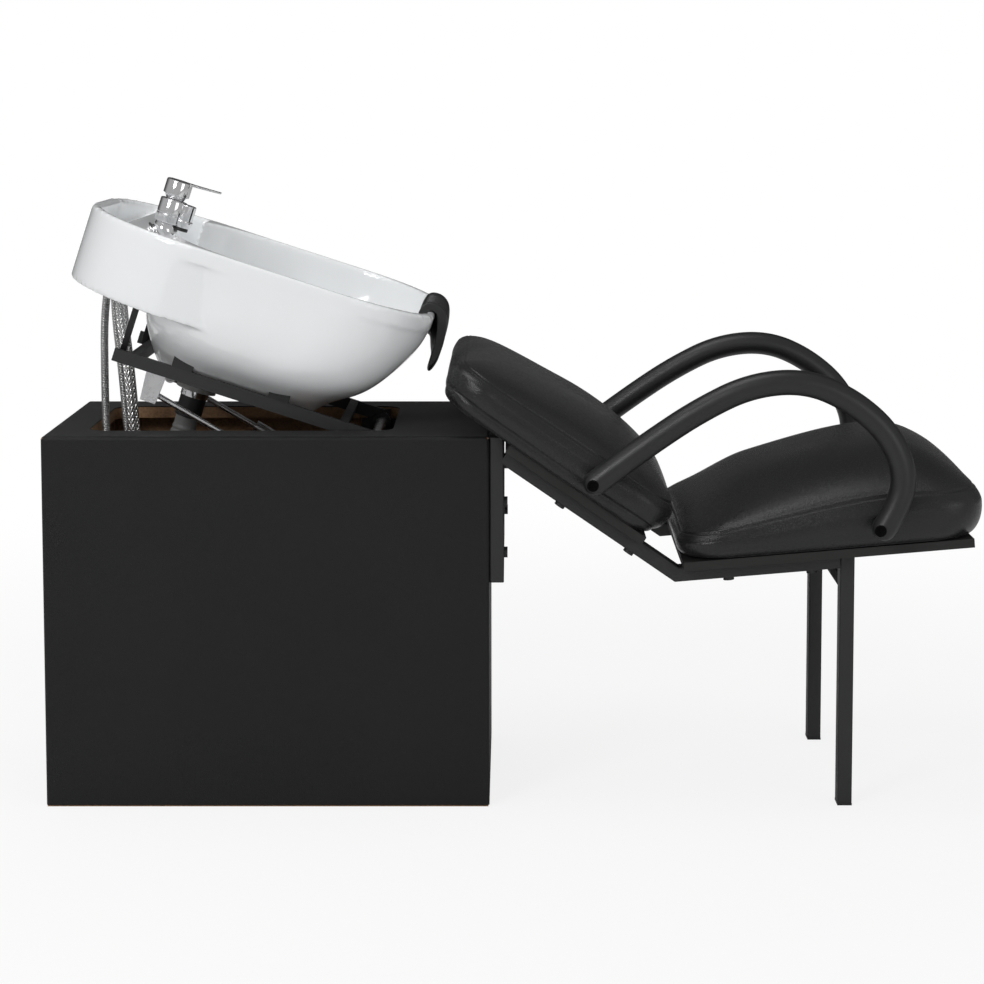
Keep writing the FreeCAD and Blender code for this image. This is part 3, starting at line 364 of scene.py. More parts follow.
def grid_mesh(name, grid, wrap_rows=False, wrap_columns=True, caps=False, along=None):
    """Quads over an array of points; along, where given, holds each row's V for a UV map."""
    rows, columns = grid.shape[:2]
    index = np.arange(rows * columns).reshape(rows, columns)
    index = np.vstack([index, index[:1]]) if wrap_rows else index
    index = np.hstack([index, index[:, :1]]) if wrap_columns else index
    cells = [index[:-1, :-1], index[:-1, 1:], index[1:, 1:], index[1:, :-1]]
    faces = np.stack(cells, -1).reshape(-1, 4).tolist()
    if caps:
        faces += [list(range(columns))[::-1], list(range((rows - 1) * columns, rows * columns))]
    mesh = bpy.data.meshes.new(name)
    mesh.from_pydata(grid.reshape(-1, 3).tolist(), [], faces)
    if along is not None:
        turn, travel = np.meshgrid(np.arange(index.shape[1]) / columns, along)
        pair = np.stack([turn, travel], -1)
        corners = [pair[:-1, :-1], pair[:-1, 1:], pair[1:, 1:], pair[1:, :-1]]
        values = np.stack(corners, -2).reshape(-1, 2)
        layer = mesh.uv_layers.new(name="UVMap")
        whole = np.zeros((len(mesh.loops), 2))
        whole[:len(values)] = values
        layer.data.foreach_set("uv", whole.ravel())
    return mesh


def outward(mesh, merge=0.0):
    """Merge doubles where asked, and turn all faces of a closed mesh outwards."""
    work = bmesh.new()
    work.from_mesh(mesh)
    if merge:
        bmesh.ops.remove_doubles(work, verts=work.verts, dist=merge)
    bmesh.ops.recalc_face_normals(work, faces=work.faces)
    work.to_mesh(mesh)
    work.free()
    return mesh


def solid_copy(node):
    """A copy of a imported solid's mesh, joined up and without materials."""
    mesh = outward(NODES[node].data.copy(), MERGE)
    mesh.materials.clear()
    return mesh


def unit(vectors):
    return vectors / np.linalg.norm(vectors, axis=-1, keepdims=True)


def ring(count):
    angle = np.linspace(0, math.tau, count, endpoint=False)
    return np.stack([np.cos(angle), np.sin(angle)], -1)


def eased(share):
    """0 below 0, 1 above 1, and 3s^2 - 2s^3 between."""
    share = np.clip(share, 0, 1)
    return share * share * (3 - 2 * share)


def rounded_box_profile(width, height, radius, steps=5):
    """A rectangle's outline with round corners: each corner is a quarter circle."""
    quarter = np.linspace(0, math.pi / 2, steps)
    corners = []
    for k, (side, up) in enumerate(((1, 1), (-1, 1), (-1, -1), (1, -1))):
        angle = quarter + k * math.pi / 2
        middle = np.array((side * (width / 2 - radius), up * (height / 2 - radius)))
        corners.append(middle + radius * np.stack([np.cos(angle), np.sin(angle)], -1))
    return np.vstack(corners)


def carried(path, profile, side):
    """A profile of (side, up) points carried along a path; corners of the path are mitred."""
    steps = unit(np.diff(path, axis=0))
    before = np.vstack([steps[:1], steps])
    after = np.vstack([steps, steps[-1:]])
    tangent = unit(before + after)
    stretch = 1 / np.sum(tangent * after, -1, keepdims=True)
    up = np.cross(side, tangent) * stretch
    return path[:, None] + profile[None, :, :1] * side + profile[None, :, 1:] * up[:, None]


def swept(line, radius, side, up, count):
    """A circle at each point of a line: radius times (cosine along side, sine along up)."""
    circle = ring(count)
    side = np.broadcast_to(side, line.shape)[:, None]
    spokes = circle[None, :, :1] * side + circle[None, :, 1:] * up[:, None]
    return line[:, None] + np.reshape(radius, (-1, 1, 1)) * spokes


def turned(profile, foot, axis, count=48):
    """A surface of revolution: (radius, height) pairs about an axis through foot."""
    axis = unit(np.array(axis, float))
    first = unit(np.cross(axis, ACROSS if abs(axis[1]) < 0.9 else (1.0, 0.0, 0.0)))
    second = np.cross(axis, first)
    spokes = ring(count) @ np.stack([first, second])
    profile = np.array(profile, float)
    return np.array(foot) + profile[:, None, :1] * spokes[None] + profile[:, None, 1:] * axis


def travelled(line):
    """Distance along a line at each of its points."""
    return np.r_[0, np.cumsum(np.linalg.norm(np.diff(line, axis=0), axis=1))]


def resampled(line, spots):
    """Points at given distances along a line."""
    travel = travelled(line)
    return np.stack([np.interp(spots, travel, column) for column in line.T], -1)


def bevel(item, width, segments=2):
    edge = item.modifiers.new("edges", "BEVEL")
    edge.width = width
    edge.segments = segments
    edge.limit_method = "ANGLE"
    edge.harden_normals = True


def tilted(origin, angle, u, y, w):
    """Places (u along, y across, w up) in a frame that dips by an angle towards +X."""
    u, y, w = np.broadcast_arrays(u, y, w)
    cosine, sine = math.cos(angle), math.sin(angle)
    return origin + np.stack([u * cosine + w * sine, y, w * cosine - u * sine], -1)


def level(u, y, w):
    """Places in the basin's own level frame, as it stands raised by the rest tilt."""
    return tilted(PIVOT, REST_TILT, u, y, w)


def level_direction(u, w):
    return level(u, 0.0, w) - PIVOT


# Cords: a smooth line through each route's control points, in millimetres.
HOSE_DIAMETER = 0.011
HOSE_SPREAD = 0.0085
SPIRAL_PITCH, BRAID_PITCH = 0.0024, 0.0085
BRAID_STRANDS = 8
SHOWER_ROUTE = ((-580, -34, 690), (-579, -46, 560), (-575, -54, 430), (-573, -60, 310), (-572, -62, 180),
                (-570, -64, 40), (-562, 62, 40), (-560, 64, 180), (-559, 62, 310), (-560, 56, 430),
                (-566, 44, 560), (-578, 32, 690))
HOT_ROUTE = ((-566, -16, 690), (-548, -22, 580), (-541, -26, 430), (-543, -28, 280), (-543, -28, 150))
COLD_ROUTE = ((-562, 14, 690), (-550, 18, 580), (-540, 22, 430), (-534, 24, 280), (-534, 24, 150))
UNION_NUT = ((0.0056, 0.0), (0.0105, 0.0), (0.0128, -0.003), (0.0135, -0.0045), (0.0135, -0.0185),
             (0.0125, -0.02), (0.0097, -0.02), (0.0093, -0.0194), (0.0093, -0.008), (0.0056, -0.008))
RIDGE_SLOPE = math.radians(40)
RIDGE_TOP = (-0.413, 0.193)
RIDGE_RUN = 0.032
TAP_NUT_DEPTH = 0.023
STRAIGHT_RUN = 0.036


def smooth_line(name, points):
    """Points along a NURBS spline of order 3 whose control points are the route."""
    curve = bpy.data.curves.new(name, "CURVE")
    curve.dimensions = "3D"
    spline = curve.splines.new("NURBS")
    spline.points.add(len(points) - 1)
    spline.points.foreach_set("co", np.hstack([points, np.ones((len(points), 1))]).ravel())
    spline.order_u = 3
    spline.use_endpoint_u = True
    spline.resolution_u = 16
    item = bpy.data.objects.new(name, curve)
    bpy.context.scene.collection.objects.link(item)
    mesh = bpy.data.meshes.new_from_object(item)
    line = np.array([vertex.co for vertex in mesh.vertices])
    bpy.data.objects.remove(item)
    keep = np.r_[True, np.linalg.norm(np.diff(line, axis=0), axis=1) > 1e-6]
    return line[keep]


def ridge_normal():
    return level_direction(math.sin(RIDGE_SLOPE), math.cos(RIDGE_SLOPE))


def nut_points(side, up):
    """Where a hose leaves the tap's nut under the ridge, and the next point straight on."""
    normal = ridge_normal()
    along = np.cross(normal, ACROSS)
    ridge = level(RIDGE_TOP[0] + RIDGE_RUN * math.cos(RIDGE_SLOPE), 0.0,
                  RIDGE_TOP[1] - RIDGE_RUN * math.sin(RIDGE_SLOPE))
    point = ridge - normal * TAP_NUT_DEPTH + HOSE_SPREAD * (side * ACROSS + up * along)
    return [point, point - normal * STRAIGHT_RUN]


def tube(name, line, radius, material):
    """A round tube along a line, with V of its UV map in metres along it."""
    tangent = unit(np.gradient(line, axis=0))
    side = unit(np.cross(tangent, (1.0, 0.0, 0.0)))
    grid = swept(line, radius, side, np.cross(side, tangent), sizes().hose_sides)
    return show(name, outward(grid_mesh(name, grid, caps=True, along=travelled(line))), material)


class CHAIR_OT_hoses(bpy.types.Operator):
    """Shower hose in its loop, and the two supply hoses"""
    bl_idname = "chair.hoses"
    bl_label = "Hoses"

    def execute(self, context):
        spiral = spiral_steel("spiral_hose", SPIRAL_PITCH, 1)
        braid = spiral_steel("braided_hose", BRAID_PITCH, BRAID_STRANDS)
        routes = (("shower_hose", nut_points(-1, 1), SHOWER_ROUTE, nut_points(1, 1)[::-1], spiral),
                  ("hot_hose", nut_points(-1, -1), HOT_ROUTE, [], braid),
                  ("cold_hose", nut_points(1, -1), COLD_ROUTE, [], braid))
        for node, start, route, end, material in routes:
            points = np.vstack([*start, np.array(route) / 1000, *end])
            line = smooth_line(node + "_route", points)
            item = tube(node + "_dressed", line, HOSE_DIAMETER / 2, material)
            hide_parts(node)
            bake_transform(item)
            nuts = [] if end else [self.nut(node, line[-1])]
        return {"FINISHED"}

    def nut(self, hose, top):
        """Union nut on the hose's lower end: a ring with an open thread below."""
        name = hose + "_nut"
        mesh = grid_mesh(name, turned(UNION_NUT, top, (0.0, 0.0, 1.0)), wrap_rows=True)
        item = show(name, outward(mesh), chrome())
        bevel(item, 0.0004)
        return dress(item, "polished_chrome", "cabinet", "hose_nuts")


RIB_PITCH = 0.008
RIB_DEPTH = 0.0026
RIB_STEPS = 10
CUFF, CUFF_SHARE = 0.016, 0.6
DRAIN_RADIUS = 0.019
DRAIN_SIDES = 40
DRAIN_X, DRAIN_START = -0.268, -0.062
DRAIN_RUN = 0.328
DRAIN_STRAIGHTEN = 0.12


class CHAIR_OT_drain_hose(bpy.types.Operator):
    """Ribbed drain hose that leaves the tail pipe on its axis and hangs straight"""
    bl_idname = "chair.drain_hose"
    bl_label = "Drain hose"

    def execute(self, context):
        step = RIB_PITCH / RIB_STEPS
        travel = np.arange(0, DRAIN_RUN, step)
        angle = REST_TILT * np.clip(1 - travel / DRAIN_STRAIGHTEN, 0, 1)
        way = np.stack([-np.sin(angle), 0 * angle, -np.cos(angle)], -1)
        line = level(DRAIN_X, 0.0, DRAIN_START) + np.cumsum(way * step, axis=0)
        wave = 0.5 + 0.5 * np.cos(math.tau * travel / RIB_PITCH)
        ribbed = np.clip(np.minimum(travel, DRAIN_RUN - travel) / CUFF - CUFF_SHARE, 0, 1)
        radius = DRAIN_RADIUS - RIB_DEPTH + RIB_DEPTH * ribbed * np.sqrt(wave)
        grid = swept(line, radius, ACROSS, np.cross(ACROSS, way), DRAIN_SIDES)
        material = moulded("drain_plastic", [0.5 * part for part in colours().drain], 0.4, 900.0)
        item = show("drain_hose_dressed", outward(grid_mesh("drain_hose", grid, caps=True)), material)
        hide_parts("drain_hose")
        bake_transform(item)
        return {"FINISHED"}


# Stage: floor, lamps, world and the camera of the photograph.
IMAGE = 984
FOCAL_PIXELS = 2542.0
VANISHING_X = 510.5
PITCH = math.radians(5.4)
CAMERA = (-0.002, -3.6375, 0.9924)
SHIFT_Y = -0.1683
SENSOR = 36.0
# Name, place, target, width, watts, and whether reflections show it.
LAMPS = (("key", (-1.8, -3.0, 2.3), (-0.3, 0.0, 0.5), 1.1, 43, True),
         ("fill", (2.4, -3.0, 1.2), (0.2, 0.0, 0.45), 1.6, 12, True),
         ("top", (-0.6, -0.4, 3.2), (-0.3, 0.0, 0.4), 1.4, 20, True),
         ("rim", (-0.8, 2.8, 2.2), (0.0, 0.0, 0.5), 1.6, 9, False))
SKY_LIGHT, SKY_BEHIND = 0.46, 0.08
SKY_TURN = 0.6
FLOOR_REACH = 9
FLOOR_FADE = (0.7, 2.6)
FLOOR_GLOW = 0.84


class CHAIR_OT_stage(bpy.types.Operator):
    """Pale floor, soft lamps and the camera"""
    bl_idname = "chair.stage"
    bl_label = "Stage"

    def execute(self, context):
        camera = bpy.data.cameras.new("camera")
        camera.sensor_width = SENSOR
        camera.lens = FOCAL_PIXELS / IMAGE * SENSOR
        camera.shift_x = (IMAGE / 2 - VANISHING_X) / IMAGE
        camera.shift_y = SHIFT_Y
        item = bpy.data.objects.new("camera", camera)
        item.location = CAMERA
        item.rotation_euler = (math.pi / 2 - PITCH, 0, 0)
        context.scene.collection.objects.link(item)
        context.scene.camera = item
        for lamp in LAMPS:
            self.lamp(*lamp)
        self.world(context.scene)
        self.floor()
        context.scene.view_settings.view_transform = "Standard"
        return {"FINISHED"}

    def lamp(self, name, place, target, width, power, mirrored):
        light = bpy.data.lights.new(name, "AREA")
        light.size = width
        light.energy = power
        item = bpy.data.objects.new(name, light)
        item.location = place
        item.rotation_euler = (Vector(target) - Vector(place)).to_track_quat("-Z", "Y").to_euler()
        item.visible_glossy = mirrored
        bpy.context.scene.collection.objects.link(item)

    def world(self, scene):
        """White to the camera, a softer grey as a light, and darker behind for reflections."""
        scene.world = bpy.data.worlds.new("studio")
        scene.world.use_nodes = True
        graph = Graph(scene.world.node_tree)
        background = graph.tree.nodes["Background"]
        ray = graph.node("LightPath", output="Is Camera Ray")
        way = graph.node("TexCoord", output="Generated")
        behind = graph.node("SeparateXYZ", None, {0: way}, "Y") * ray.sibling("Is Glossy Ray")
        light = graph.node("MapRange", None, {"Value": behind, "From Max": SKY_TURN, "To Min": SKY_LIGHT,
                                              "To Max": SKY_BEHIND})
        seen = ray.larger(ray.sibling("Is Transmission Ray"))
        strength = graph.node("MapRange", None, {"Value": seen, "To Min": light})
        graph.feed(background.inputs["Strength"], strength)
        graph.feed(background.inputs["Color"], WHITE)

    def floor(self):
        """A pale floor that the camera sees glow, more so far out, until it meets the white behind."""
        finish = Finish("studio_floor")
        grain = finish.noise(40.0)
        colour = colours().floor
        finish.set(Base_Color=finish.blend(rgba(colour, 0.99), rgba(colour, 1.01), grain), Roughness=0.8)
        glow = finish.node("Emission", None, {"Color": WHITE, "Strength": 1.0})
        seen = finish.node("LightPath", output="Is Camera Ray")
        distance = finish.node("VectorMath", {"operation": "LENGTH"}, {0: finish.place()}, "Value")
        share = (FLOOR_GLOW + (1 - FLOOR_GLOW) * distance.between(*FLOOR_FADE)) * seen
        plain = Wire(finish, finish.shader.outputs[0])
        mixed = finish.node("MixShader", None, {0: share, 1: plain, 2: glow})
        finish.feed(finish.output.inputs[0], mixed)
        reach = np.linspace(-FLOOR_REACH, FLOOR_REACH, 3)
        grid = np.stack([*np.meshgrid(reach, reach), np.zeros((3, 3))], -1)
        show("floor", grid_mesh("floor", grid, wrap_columns=False), finish.material, False)


# Cushions: rings of a rounded outline, from the middle below, up the side, to the middle above.
BELOW_ROWS, ROUND_ROWS, DOME_ROWS = 8, 10, 43
SEAM_ROW = 26
SEAM_SHOULDER = 0.35
INNERMOST = 0.02
DOME = 5.0
CROWN_ALONG, CROWN_ACROSS = 8, 2.2
CLOTH_FRAMES = 20
FOAM_PRESSURE = 4
CLOTH_QUALITY = 4
TAUT_PASSES, ROWS_EACH = 40, 4
CREASE = 0.12


def plan(half_length, half_width, radius, count):
    """A rectangle with round corners, as evenly spaced points by arc length."""
    outline = rounded_box_profile(2 * half_length, 2 * half_width, radius, 24)
    outline = np.vstack([outline, outline[:1]])
    return resampled(outline, np.linspace(0, travelled(outline)[-1], count, endpoint=False))


@dataclass
class Cushion:
    """One padded piece in the frame of its rail.

    Edge and crown are heights as functions of the share of the length; belly is the share of the edge
    height at which the side is widest.
    """
    node: str
    start: float
    end: float
    low: float
    slope: float
    edge: Callable
    crown: Callable
    corner: float
    low_round: float
    belly: float = 0.5

    def rings(self):
        """Rows of (x, y, height): rings below, a round lower edge up to the belly, and a dome above it.

        Above, a ring at share k of the outline stands at belly + (top - belly) * (1 - k^DOME)^0.5,
        and the top is the edge height and a crown that falls to nothing at the sides.
        """
        low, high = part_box(self.node)
        half = np.array(((self.end - self.start) / 2, (high.y - low.y) / 2 - sizes().swell))
        outline = plan(*half, self.corner, sizes().cushion_columns)
        edge = self.edge(0.5 + 0.5 * outline[:, 0] / half[0])
        belly = self.belly * edge
        base = outline * (1 - self.low_round / half)
        rows = [np.column_stack([base * k, 0 * edge]) for k in np.linspace(INNERMOST, 1, BELOW_ROWS)]
        for angle in np.linspace(0, math.pi / 2, ROUND_ROWS + 1)[1:]:
            place = base + (outline - base) * math.sin(angle)
            rows.append(np.column_stack([place, belly * (1 - math.cos(angle))]))
        for k in 1 - (1 - INNERMOST) * np.linspace(0, 1, DOME_ROWS + 1)[1:] ** 2:
            place = outline * k
            share = np.abs(place / half)
            along = 0.5 + 0.5 * place[:, 0] / half[0]
            fall = (1 - share[:, 1] ** CROWN_ACROSS) * (1 - share[:, 0] ** CROWN_ALONG)
            top = self.edge(along) + self.crown(along) * fall
            rows.append(np.column_stack([place, belly * k + (top - belly * k) * (1 - k ** DOME) ** 0.5]))
        return np.stack(rows)

    def grid(self):
        x, y, height = np.moveaxis(self.rings(), -1, 0)
        return tilted(BEND, self.slope, x + (self.start + self.end) / 2, y, height + self.low)


def constant(height):
    return lambda share: height + 0 * share


def seat_edge(share):
    """Low at the rear, and eased up over most of the length."""
    return 0.044 + 0.046 * eased((share - 0.02) / 0.72)


def seat_crown(share):
    """A hump that rises over the rear third and falls off before the front."""
    return 0.012 + 0.028 * eased(share / 0.3) * eased((1.03 - share) / 0.22)


def back_crown(share):
    """A low crown, with a swell for the small of the back."""
    return 0.006 + 0.015 * np.exp(-((share - 0.58) / 0.25) ** 2)


def swelled(name, points, pinned_rows):
    """Foam pressure under the cover: a short cloth run, with each point's travel capped.

    The travel is then averaged with its neighbours, and only a share of the fine creases stays.
    """
    item = bpy.data.objects.new(name + "_cloth", outward(grid_mesh(name + "_cloth", points, caps=True)))
    scene = bpy.context.scene
    scene.collection.objects.link(item)
    group = item.vertex_groups.new(name="pinned")
    group.add(list(range(pinned_rows * points.shape[1])), 1.0, "REPLACE")
    cloth = item.modifiers.new("foam", "CLOTH")
    cloth.settings.use_pressure = True
    cloth.settings.uniform_pressure_force = FOAM_PRESSURE
    cloth.settings.vertex_group_mass = "pinned"
    cloth.settings.effector_weights.gravity = 0
    cloth.settings.quality = CLOTH_QUALITY
    cloth.collision_settings.use_collision = False
    for number in range(CLOTH_FRAMES):
        scene.frame_set(number + 1)
    shaped = item.evaluated_get(bpy.context.evaluated_depsgraph_get())
    moved = np.empty(points.size)
    shaped.data.vertices.foreach_get("co", moved)
    moved = moved.reshape(points.shape) - points
    scene.frame_set(1)
    bpy.data.objects.remove(item)
    travel = np.linalg.norm(moved, axis=-1, keepdims=True)
    moved *= np.minimum(1, sizes().swell / np.maximum(travel, 1e-9))
    taut = moved
    for number in range(TAUT_PASSES):
        taut = 0.5 * taut + 0.25 * (np.roll(taut, 1, 1) + np.roll(taut, -1, 1))
        if number % ROWS_EACH == 0:
            edged = np.concatenate([taut[:1], taut, taut[-1:]])
            taut = 0.5 * taut + 0.25 * (edged[:-2] + edged[2:])
    return points + taut + CREASE * (moved - taut)


def grid_normals(points):
    """Outward normals of a grid whose columns close: the cross product of its two directions."""
    across = np.roll(points, -1, 1) - np.roll(points, 1, 1)
    normals = unit(np.cross(across, np.gradient(points, axis=0)) + 1e-12)
    middle = points.reshape(-1, 3).mean(0)
    return normals * np.sign(np.sum(normals * (points - middle)))


def seamed(points, row):
    """Press the seam between top and side: a groove with soft shoulders."""
    push = sizes().seam_depth * grid_normals(points)
    points = points.copy()
    points[row] -= push[row]
    shoulders = [row - 1, row + 1]
    points[shoulders] += SEAM_SHOULDER * push[shoulders]
    return points


def refined(points):
    """Twice the points each way: each new one lies on the cubic through its four neighbours."""
    def halves(array, axis, closed):
        if closed:
            before, after, last = (np.roll(array, k, axis) for k in (1, -1, -2))
        else:
            count = array.shape[axis]
            before, after, last = (np.take(array, np.clip(np.arange(count) + k, 0, count - 1), axis)
                                   for k in (-1, 1, 2))
        middle = (9 * (array + after) - before - last) / 16
        woven = np.stack([array, middle], axis + 1)
        shape = list(array.shape)
        shape[axis] *= 2
        return woven.reshape(shape)
    return halves(halves(points, 0, False)[:-1], 1, True)


class CHAIR_OT_cushions(bpy.types.Operator):
    """Seat cushion, back cushion and the pad behind it"""
    bl_idname = "chair.cushions"
    bl_label = "Cushions"

    def execute(self, context):
        material = leatherette("cushion_leatherette", 1100.0, 0.17, 0.45)
        seat = Cushion("seat_cushion", start=0.004, end=0.430, low=0.0325, slope=-SEAT_SLOPE,
                       edge=seat_edge, crown=seat_crown, corner=0.06, low_round=0.02)
        pad = Cushion("back_pad", start=-0.413, end=-0.067, low=0.0325, slope=BACK_SLOPE,
                      edge=constant(0.0305), crown=constant(0.0), corner=0.05, low_round=0.013)
        back = Cushion("back_cushion", start=-0.421, end=-0.055, low=0.0430, slope=BACK_SLOPE,
                       edge=constant(0.059), crown=back_crown, corner=0.06, low_round=0.011)
        for cushion in (seat, pad, back):
            points = cushion.grid()
            points = swelled(cushion.node, points, BELOW_ROWS)
            points = refined(seamed(points, SEAM_ROW))
            mesh = outward(grid_mesh(cushion.node, points, caps=True))
            item = show(cushion.node + "_dressed", mesh, material)
            dress(item, "cushion_vinyl", "cabinet", cushion.node)
        return {"FINISHED"}


# Chair frame: rounded rectangular tube.
TUBE_EDGE = 0.0006


def frame_tube(name, path, profile, side, material, *nodes):
    grid = carried(np.array(path), profile, side)
    item = show(name, outward(grid_mesh(name, grid, caps=True)), material)
    return dress(item, "black_metal", "cabinet", *nodes)


class CHAIR_OT_frame(bpy.types.Operator):
    """Posts, rails, legs and cross tubes with rounded corners"""
    bl_idname = "chair.frame"
    bl_label = "Chair frame"

    def execute(self, context):
        coat = powder_coat()
        corner = sizes().tube_corner
        for name, _ in SIDES:
            post, leg = f"frame_post_{name}", f"front_leg_{name}"
            low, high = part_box(post)
            y, half = (low.y + high.y) / 2, (high.x - low.x) / 2
            profile = rounded_box_profile(high.y - low.y, 2 * half, corner)
            rails = (f"back_rail_{name}", f"seat_rail_{name}")
            route = self.rail(high.x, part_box(leg)[0].x, y, half)
            for piece, path, nodes in ((f"post_{name}", self.upright(post, y), (post,)),
                                       (f"leg_{name}", self.upright(leg, y), (leg,)),
                                       (f"rail_{name}", route, rails)):
                bevel(frame_tube(piece, path, profile, ACROSS, coat, *nodes), TUBE_EDGE)
        for node in ("front_cross_tube", "rear_cross_tube"):
            low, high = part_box(node)
            middle = (low + high) / 2
            profile = rounded_box_profile(high.x - low.x, high.z - low.z, corner)
            path = ((middle.x, low.y, middle.z), (middle.x, high.y, middle.z))
            frame_tube(node + "_dressed", path, profile, np.array((1.0, 0.0, 0.0)), coat, node)
        return {"FINISHED"}

    def upright(self, node, y):
        low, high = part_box(node)
        x = (low.x + high.x) / 2
        return (x, y, low.z), (x, y, high.z)

    def rail(self, rear, front, y, half):
        """The rail's middle line: half a tube above the lower edges that meet in the bend."""
        turn = 1 + math.cos(BACK_SLOPE + SEAT_SLOPE)
        start = BEND[2] + (BEND[0] - rear) * math.tan(BACK_SLOPE) + half / math.cos(BACK_SLOPE)
        end = BEND[2] + (front - BEND[0]) * math.tan(SEAT_SLOPE) + half / math.cos(SEAT_SLOPE)
        bend = (BEND[0] + half * (math.sin(BACK_SLOPE) - math.sin(SEAT_SLOPE)) / turn, y,
                BEND[2] + half * (math.cos(BACK_SLOPE) + math.cos(SEAT_SLOPE)) / turn)
        return (rear, y, start), bend, (front, y, end)


# Arms: the route's control points and the bolts, as X and Z.
ARM_Y = 0.2633
ARM_RADIUS = 0.017
ARM_STEPS, ARM_END_STEPS, ARM_SIDES = 150, 9, 40
ARM_TIP = 0.04
ARM_ROUTE = ((99, 452), (130, 476), (190, 520), (250, 560), (318, 594), (392, 601), (455, 574), (507, 528),
             (530, 468), (511, 415), (491, 387))
ARM_BOLTS = ((0.108, 0.461), (0.493, 0.400))
PLUG_SINK = 0.0006
PLUG_SIDES = 32
PLUG_PROFILE = ((0.0002, 0.0012), (0.0052, 0.0012), (0.0058, 0.0026), (0.0072, 0.003), (0.0078, 0.002),
                (0.008, 0.0), (0.0002, 0.0))


class CHAIR_OT_arms(bpy.types.Operator):
    """Arms of self-skinned foam: a round bar along a bent line, with domed ends and a plug at each bolt, whose
    near-black colour is painted recess shade
    """
    bl_idname = "chair.arms"
    bl_label = "Arms"

    def execute(self, context):
        foam = moulded("arm_foam_skin", colours().foam, 0.34, 2200.0)
        # Plugs: a real plug in near-black, matt plastic, darker than the black plastic of the other parts, as
        # painted shade of the bolt recesses.
        plastic = moulded("plug_plastic_recess_shade", (0.0012, 0.0012, 0.0012), 0.8, 1200.0, 0.1)
        for name, side in SIDES:
            grid = self.bar(side)
            item = show(f"arm_{name}_dressed", outward(grid_mesh(f"arm_{name}", grid, caps=True)), foam)
            dress(item, "arm_foam", "cabinet", f"arm_{name}")
            for number, (x, z) in enumerate(ARM_BOLTS):
                face = (x, side * (ARM_Y + ARM_RADIUS - PLUG_SINK), z)
                grid = turned(PLUG_PROFILE, face, side * ACROSS, PLUG_SIDES)
                mesh = outward(grid_mesh("plug", grid, wrap_rows=True))
                plug = show(f"arm_plug_{name}_{number}", mesh, plastic)
                dress(plug, "black_plastic", "cabinet", "arm_bolts")
        return {"FINISHED"}

    def bar(self, side):
        """Circles along the arm's line; over the last radius they shrink as a half ball does."""
        line = smooth_line("arm_route", np.array([(x / 1000, side * ARM_Y, z / 1000) for x, z in ARM_ROUTE]))
        length = travelled(line)[-1]
        ends = ARM_RADIUS * (1 - np.cos(np.linspace(0, math.pi / 2, ARM_END_STEPS)))
        between = np.linspace(ARM_RADIUS, length - ARM_RADIUS, ARM_STEPS)[1:-1]
        spots = np.r_[ends, between, length - ends[::-1]]
        line = resampled(line, spots)
        near = np.clip(np.minimum(spots, length - spots) / ARM_RADIUS, 0.0, 1)
        radius = ARM_RADIUS * np.maximum(np.sqrt(1 - (1 - near) ** 2), ARM_TIP)
        tangent = unit(np.gradient(line, axis=0))
        return swept(line, radius, ACROSS, np.cross(ACROSS, tangent), ARM_SIDES)


GLAZE_PASSES = 8


class CHAIR_OT_basin(bpy.types.Operator):
    """Basin with the soft edges of a thick glaze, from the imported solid"""
    bl_idname = "chair.basin"
    bl_label = "Basin"

    def execute(self, context):
        item = show("basin_dressed", solid_copy("basin"), glaze())
        blocks = item.modifiers.new("blocks", "REMESH")
        blocks.mode = "VOXEL"
        blocks.voxel_size = sizes().glaze_voxel
        soft = item.modifiers.new("soft", "SMOOTH")
        soft.factor = 0.5
        soft.iterations = GLAZE_PASSES
        shaped = item.evaluated_get(context.evaluated_depsgraph_get())
        item.data = bpy.data.meshes.new_from_object(shaped)
        item.modifiers.clear()
        item.data.shade_smooth()
        dress(item, "white_ceramic", "basin_unit", "basin")
        return {"FINISHED"}


# Neck rest: a section in the basin's level frame, in millimetres from the front of the rim.
RIM = 0.198
NECK_HALF = 0.088
NECK_RADIUS = 0.075
NECK_DEPTH = 0.040
NECK_STEPS = 81
DIP_EASE = 0.006
APRON_LAG = 0.6
APRON_START, APRON_EASE, APRON_DROP = 0.03, 0.008, 0.07
NECK_PROFILE = np.array((
    (14.5, -28), (8, -30), (3.5, -22), (3, -6), (7, 9), (18, 14), (32, 12), (43, 2), (49, -20), (51, -46),
    (48, -66), (43, -75), (38, -70), (39, -48), (36, -24), (31, -6), (27.2, 1.2), (15, 1.2))) / 1000


def cut_corners(loop, passes=3):
    """A closed line drawn smooth: each pass puts two points on every side and drops its corners."""
    for _ in range(passes):
        following = np.roll(loop, -1, 0)
        loop = np.stack([0.75 * loop + 0.25 * following, 0.25 * loop + 0.75 * following], 1).reshape(-1, 2)
    return loop


class CHAIR_OT_neck_rest(bpy.types.Operator):
    """Rubber neck rest: a hooked section that follows the dip of the front rim"""
    bl_idname = "chair.neck_rest"
    bl_label = "Neck rest"

    def execute(self, context):
        u, w = cut_corners(NECK_PROFILE).T
        y = np.linspace(-NECK_HALF, NECK_HALF, NECK_STEPS)[:, None]
        dip = np.sqrt(np.maximum(NECK_RADIUS ** 2 - y ** 2, 0)) - (NECK_RADIUS - NECK_DEPTH)
        dip = 0.5 * (dip + np.sqrt(dip ** 2 + DIP_EASE ** 2))
        follow = 1 - APRON_LAG * eased((u - APRON_START) / APRON_EASE) * eased(-w / APRON_DROP)
        grid = level(u, y, RIM + w - dip * follow)
        material = moulded("neck_rubber", (0.009, 0.009, 0.0095), 0.36, 1500.0)
        item = show("neck_rest_dressed", outward(grid_mesh("neck_rest", grid, caps=True)), material)
        bevel(item, 0.0022, 3)
        dress(item, "black_rubber", "basin_unit", "neck_rest")
        return {"FINISHED"}


